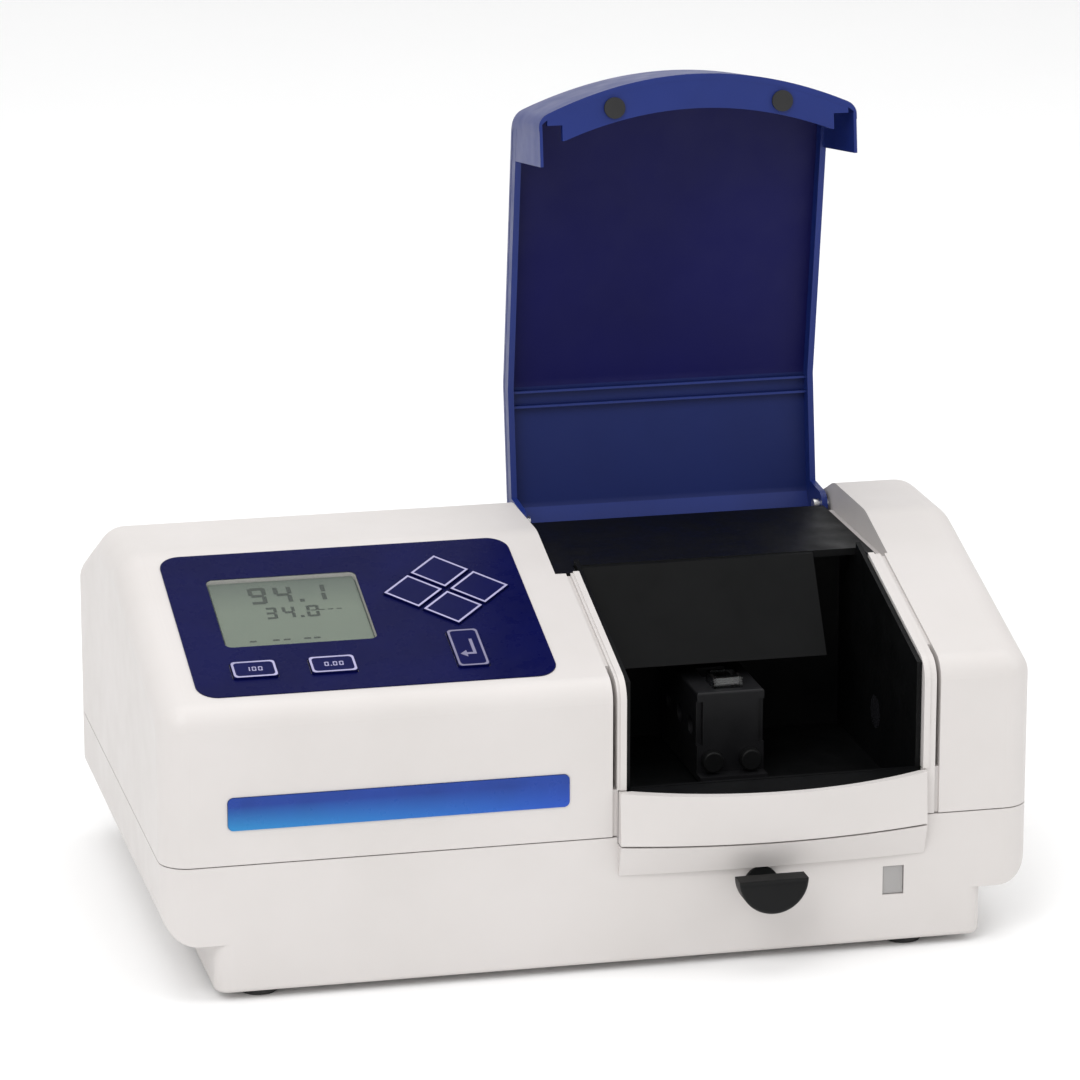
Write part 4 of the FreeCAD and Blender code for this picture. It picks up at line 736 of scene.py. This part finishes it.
class INSTRUMENT_OT_panel(bpy.types.Operator):
    """Finish the key panel, its keys and its display"""
    bl_idname = "instrument.panel"
    bl_label = "Key panel"

    def execute(self, context):
        settings = context.scene.instrument
        colours = settings.colours
        navy = printed_film("label_navy", colours.label, shaded(colours.label, 1.25))
        dress("keypad_label", navy)
        key_film = printed_film("key_navy", shaded(colours.label, 1.1), shaded(colours.label, 1.4),
                                (0.28, 0.4))
        self.ink = printed_film("key_ink", colours.outline, shaded(colours.outline, 0.8), (0.4, 0.5))
        self.soft_ink = printed_film("key_soft_ink", shaded(colours.outline, 0.55),
                                     shaded(colours.outline, 0.42), (0.4, 0.5))
        for node in ARROW_KEYS + TEXT_KEYS + (START_KEY,):
            dress(node, key_film)
            self.print_key(context, settings.panel, node)
        self.window()
        self.display(context, settings.panel, colours)
        return {"FINISHED"}

    def print_key(self, context, sizes, node):
        plane = PanelPlane(context, node, sizes.key_thickness)
        inset = 0.0002
        rings = [[plane.near_middle(px, ps, -0.00001) for px, ps in key_cap_outline(plane, node, reach)]
                 for reach in (inset, inset + sizes.outline)]
        bm = bmesh.new()
        add_band(bm, rings[0], rings[1], plane.out * sizes.ink)
        if node == "key_mode":
            add_marks(bm, plane, digit_shapes("100", 0.003, 0.0005), -0.0036, -0.0015, -0.00001, sizes.ink)
        if node == "key_zero":
            add_marks(bm, plane, digit_shapes("0.00", 0.003, 0.0005), -0.0036, -0.0015, -0.00001, sizes.ink)
        if node == START_KEY:
            bar = 0.0013
            add_marks(bm, plane, ((0.0014, -0.0052, bar, 0.0112), (-0.0012, -0.0052, 0.0026, bar)),
                      0.0, 0.0, -0.00001, sizes.ink)
            tip = [plane.near_middle(px, ps, -0.00001)
                   for px, ps in ((-0.0012, -0.0070), (-0.0012, -0.0021), (-0.0040, -0.00455))]
            add_prism(bm, tip, plane.out * sizes.ink)
        mesh = finished_mesh(bm, node + "_print")
        ink = self.soft_ink if node == START_KEY else self.ink
        add_piece(node + "_print", mesh, ink, node)

    def window(self):
        clear = Finish("display_window_clear", roughness=0.08)
        clear.colour(clear.mix(clear.levels(clear.noise(0.02), 0.35, 0.7, 0.0, 1.0),
                               (0.30, 0.34, 0.29), (0.27, 0.31, 0.27)))
        clear.roughness(clear.noise(0.004), 0.06, 0.12)
        clear.put("Alpha", 0.12)
        clear.put("IOR", 1.49)
        dress("display_window", clear)

    def display(self, context, sizes, colours):
        plane = PanelPlane(context, "lcd_panel", 0.0029)
        lcd = Finish("display_grey_green")
        cloud = lcd.levels(lcd.noise(0.015), 0.3, 0.7, 0.0, 1.0)
        ground = lcd.mix(cloud, colours.display, shaded(colours.display, 0.94))
        # Painted shade darkens the display over its upper part, towards its top edge.
        rise = lcd.along("Y", plane.hi.y - 0.022, plane.hi.y)
        lcd.colour(lcd.mix(rise, ground, colours.display_painted_shade))
        lcd.roughness(lcd.noise(0.002), 0.35, 0.45)
        lcd.bump(lcd.noise(0.0003, 1.0), 0.00001, 0.2)
        dress("lcd_panel", lcd)
        bm = bmesh.new()
        big, small = sizes.digit_height, sizes.digit_height * 0.70
        lift = 0.00002
        add_marks(bm, plane, digit_shapes("94.1", big, big * 0.15), -0.0155, 0.0078, lift, sizes.ink)
        add_marks(bm, plane, digit_shapes("34.0", small, small * 0.16), -0.0110, -0.0040, lift, sizes.ink)
        dashes = [(0.0085 + 0.0036 * k, 0.0006, 0.0022, 0.0006) for k in range(4)]
        feet = [(x, -0.0205, 0.0028, 0.0011) for x in (-0.0205, -0.0110, -0.0065, 0.0020, 0.0060)]
        add_marks(bm, plane, dashes + feet, 0.0, 0.0, lift, sizes.ink)
        figures = printed_film("display_figures", colours.figures, shaded(colours.figures, 1.3), (0.4, 0.5))
        add_piece("display_figures", finished_mesh(bm, "display_figures"), figures, "housing")


# ---------------------------------------------------------------- front

class INSTRUMENT_OT_front(bpy.types.Operator):
    """Finish the strip, the plug, the pull knob and the feet"""
    bl_idname = "instrument.front"
    bl_label = "Front fittings"

    def execute(self, context):
        colours = context.scene.instrument.colours
        lo, hi = node_box("badge_plate")
        strip = Finish("badge_blue")
        rise = strip.along("Z", lo.z, lo.z + (hi.z - lo.z) * 0.75)
        run = strip.along("X", lo.x, hi.x)
        cloud = strip.levels(strip.noise(0.02), 0.35, 0.7, 0.0, 1.0)
        deep = strip.mix(cloud, colours.badge, shaded(colours.badge, 0.8))
        low = strip.mix(run, colours.badge_edge, shaded(colours.badge, 1.5))
        strip.colour(strip.mix(rise, low, deep))
        strip.roughness(strip.noise(0.005), 0.25, 0.36)
        strip.put("Specular IOR Level", 0.3)
        dress("badge_plate", strip)
        grip = moulded("grip_black", (0.004, 0.0042, 0.0044), (0.007, 0.0072, 0.0075), (0.4, 0.52), 0.0006,
                       0.00003)
        grip.put("Specular IOR Level", 0.15)
        for node in ("pull_knob", "rod_bush", "holder_screws"):
            dress(node, grip)
        dress("rubber_feet", moulded("foot_rubber", (0.018, 0.018, 0.018), (0.03, 0.03, 0.03),
                                     (0.65, 0.8), 0.0005, 0.00005))
        dress("port_plug", moulded("port_grey", (0.36, 0.35, 0.345), (0.31, 0.30, 0.295)))
        soften("pull_knob", 0.0008)
        return {"FINISHED"}


# ---------------------------------------------------------------- sample chamber

class INSTRUMENT_OT_chamber(bpy.types.Operator):
    """Finish the black chamber, the cell changer and the cuvette"""
    bl_idname = "instrument.chamber"
    bl_label = "Sample chamber"

    def execute(self, context):
        colours = context.scene.instrument.colours
        black = moulded("chamber_black", colours.chamber, colours.chamber_dust, (0.38, 0.55), 0.0006,
                        0.00003)
        black.put("Specular IOR Level", 0.12)
        for node in CHAMBER_NODES:
            dress(node, black)
            soften(node, 0.0006)
        anodised = moulded("anodised_black", (0.006, 0.006, 0.007), (0.010, 0.010, 0.011), (0.35, 0.5),
                           0.0003, 0.00001)
        anodised.put("Specular IOR Level", 0.25)
        for node in ANODISED_NODES:
            dress(node, anodised)
        soften("cell_block", 0.0004)
        glass = Finish("cuvette_glass", roughness=0.03)
        glass.colour(glass.mix(glass.levels(glass.noise(0.01), 0.35, 0.7, 0.0, 1.0),
                               (0.93, 0.95, 0.96), (0.90, 0.93, 0.95)))
        glass.roughness(glass.noise(0.004), 0.02, 0.06)
        glass.put("Transmission Weight", 1.0)
        glass.put("IOR", 1.48)
        for node in ("cuvette", "condenser_lens", "halogen_lamp"):
            dress(node, glass)
        dress("beam_windows", printed_film("beam_window_dark", (0.012, 0.012, 0.014), (0.018, 0.018, 0.020),
                                           (0.06, 0.1)))
        return {"FINISHED"}


# ---------------------------------------------------------------- rear and inside

class INSTRUMENT_OT_rear(bpy.types.Operator):
    """Finish the rear panel and its connectors"""
    bl_idname = "instrument.rear"
    bl_label = "Rear fittings"

    def execute(self, context):
        paint = moulded("panel_paint_grey", (0.36, 0.36, 0.355), (0.32, 0.32, 0.315), (0.4, 0.5), 0.0009,
                        0.00003)
        dress("rear_panel", paint)
        black = moulded("connector_black", (0.016, 0.016, 0.017), (0.025, 0.025, 0.026), (0.36, 0.5))
        for node in CONNECTOR_NODES:
            dress(node, black)
        steel = drawn_metal("plated_steel", (0.62, 0.61, 0.60), (0.50, 0.50, 0.50), (0.24, 0.42))
        for node in STEEL_NODES:
            dress(node, steel)
        tin = drawn_metal("tinned_shell", (0.66, 0.65, 0.62), (0.55, 0.54, 0.52), (0.22, 0.36))
        for node in ("serial_port", "photodiode"):
            dress(node, tin)
        return {"FINISHED"}


class INSTRUMENT_OT_inside(bpy.types.Operator):
    """Finish the optics and the boards inside the case"""
    bl_idname = "instrument.inside"
    bl_label = "Inside"

    def execute(self, context):
        boards = moulded("board_green", (0.012, 0.085, 0.035), (0.010, 0.065, 0.028), (0.25, 0.4), 0.0012,
                         0.00005)
        for node in BOARD_NODES:
            dress(node, boards)
        cast = drawn_metal("cast_alloy", (0.50, 0.50, 0.51), (0.42, 0.42, 0.43), (0.45, 0.62),
                           (1.0, 1.0, 1.0))
        dress("optics_base", cast)
        dress("mirrors", drawn_metal("mirror_silver", (0.92, 0.92, 0.92), (0.88, 0.88, 0.89), (0.02, 0.06)))
        dress("grating", drawn_metal("grating_gold", (0.80, 0.68, 0.42), (0.72, 0.60, 0.38), (0.08, 0.16),
                                     (60.0, 60.0, 1.0)))
        acetal = moulded("gear_white", (0.74, 0.74, 0.70), (0.68, 0.68, 0.63), (0.35, 0.5), 0.0008, 0.00002)
        for node in ("grating_turret", "motor_pinion"):
            dress(node, acetal)
        dress("lamp_holder", moulded("ceramic_white", (0.78, 0.75, 0.68), (0.70, 0.66, 0.58), (0.5, 0.7),
                                     0.0005, 0.00006))
        motor = moulded("motor_black", (0.03, 0.03, 0.031), (0.045, 0.045, 0.046), (0.35, 0.5), 0.001,
                        0.00004)
        for node in ("grating_motor", "filter_motor"):
            dress(node, motor)
        return {"FINISHED"}


# ---------------------------------------------------------------- stage

def add_floor(half, finish):
    """Seamless floor that curves up behind the instrument."""
    bm = bmesh.new()
    bend = 0.8
    profile = [(-half, 0.0)] + [(half - bend + bend * math.sin(a), bend - bend * math.cos(a))
                                for a in [math.pi / 2 * k / 24 for k in range(25)]]
    profile.append((half, half))
    rows = [[bm.verts.new((x, y, z)) for y, z in profile] for x in (-half * 1.5, half * 1.5)]
    for k in range(len(profile) - 1):
        bm.faces.new((rows[0][k], rows[1][k], rows[1][k + 1], rows[0][k + 1]))
    mesh = finished_mesh(bm, "studio_floor", 80.0)
    floor = bpy.data.objects.new("studio_floor", mesh)
    floor.data.materials.append(finish.material)
    bpy.context.scene.collection.objects.link(floor)


def add_area_light(name, place, aim, size, power):
    data = bpy.data.lights.new(name, "AREA")
    data.shape = "RECTANGLE"
    data.size, data.size_y = size
    data.energy = power
    lamp = bpy.data.objects.new(name, data)
    lamp.location = place
    lamp.rotation_euler = (Vector(aim) - Vector(place)).to_track_quat("-Z", "Y").to_euler()
    bpy.context.scene.collection.objects.link(lamp)


class INSTRUMENT_OT_stage(bpy.types.Operator):
    """Set the floor, the lights and the camera"""
    bl_idname = "instrument.stage"
    bl_label = "Stage"

    def execute(self, context):
        settings = context.scene.instrument
        sizes = settings.stage
        paper = Finish("floor_paper", roughness=0.85)
        paper.colour(paper.mix(paper.levels(paper.noise(0.4), 0.35, 0.7, 0.0, 1.0), settings.colours.floor,
                               shaded(settings.colours.floor, 0.99)))
        paper.bump(paper.noise(0.002), 0.00005, 0.2)
        add_floor(sizes.floor, paper)
        aim = Vector(sizes.aim)
        add_area_light("key_light", (-1.5, -2.0, 2.4), aim, (1.8, 1.8), 37.0)
        add_area_light("side_light", (2.2, -1.2, 1.6), aim, (1.6, 1.6), 11.0)
        add_area_light("top_light", (0.0, 0.2, 2.6), aim, (2.2, 2.2), 25.0)
        world = bpy.data.worlds.new("studio_air")
        world.use_nodes = True
        world.node_tree.nodes["Background"].inputs["Color"].default_value = (1.0, 1.0, 1.0, 1.0)
        world.node_tree.nodes["Background"].inputs["Strength"].default_value = 0.75
        context.scene.world = world
        context.scene.view_settings.view_transform = "Standard"
        data = bpy.data.cameras.new("studio_camera")
        data.lens = sizes.lens
        data.sensor_width = 36.0
        data.clip_end = 50.0
        camera = bpy.data.objects.new("studio_camera", data)
        turn, rise = sizes.camera_turn, sizes.camera_rise
        away = Vector((math.sin(turn) * math.cos(rise), -math.cos(turn) * math.cos(rise), math.sin(rise)))
        camera.location = aim + away * sizes.camera_distance
        camera.rotation_euler = (-away).to_track_quat("-Z", "Y").to_euler()
        context.scene.collection.objects.link(camera)
        context.scene.camera = camera
        return {"FINISHED"}


# ---------------------------------------------------------------- sidebar

STEPS = (INSTRUMENT_OT_case, INSTRUMENT_OT_lid, INSTRUMENT_OT_panel, INSTRUMENT_OT_front,
         INSTRUMENT_OT_chamber, INSTRUMENT_OT_rear, INSTRUMENT_OT_inside, INSTRUMENT_OT_stage)


class INSTRUMENT_PT_sidebar(bpy.types.Panel):
    """Buttons for each group of parts, with their sizes and colours"""
    bl_idname = "INSTRUMENT_PT_sidebar"
    bl_label = "Bench spectrophotometer"
    bl_space_type = "VIEW_3D"
    bl_region_type = "UI"
    bl_category = "Instrument"

    def draw(self, context):
        layout = self.layout
        for step in STEPS:
            layout.operator(step.bl_idname)
        settings = context.scene.instrument
        for group in (settings.case, settings.lid, settings.panel, settings.stage, settings.colours):
            box = layout.box()
            for name in group.bl_rna.properties.keys():
                if name not in ("rna_type", "name"):
                    box.prop(group, name)


CLASSES = (CaseSizes, LidSizes, PanelSizes, StageSizes, InstrumentColours, InstrumentSettings,
           *STEPS, INSTRUMENT_PT_sidebar)


def register():
    for cls in CLASSES:
        bpy.utils.register_class(cls)
    bpy.types.Scene.instrument = PointerProperty(type=InstrumentSettings)


def unregister():
    del bpy.types.Scene.instrument
    for cls in reversed(CLASSES):
        bpy.utils.unregister_class(cls)


def main():
    register()
    for step in STEPS:
        group, action = step.bl_idname.split(".")
        getattr(getattr(bpy.ops, group), action)()


if __name__ == "__main__":
    main()
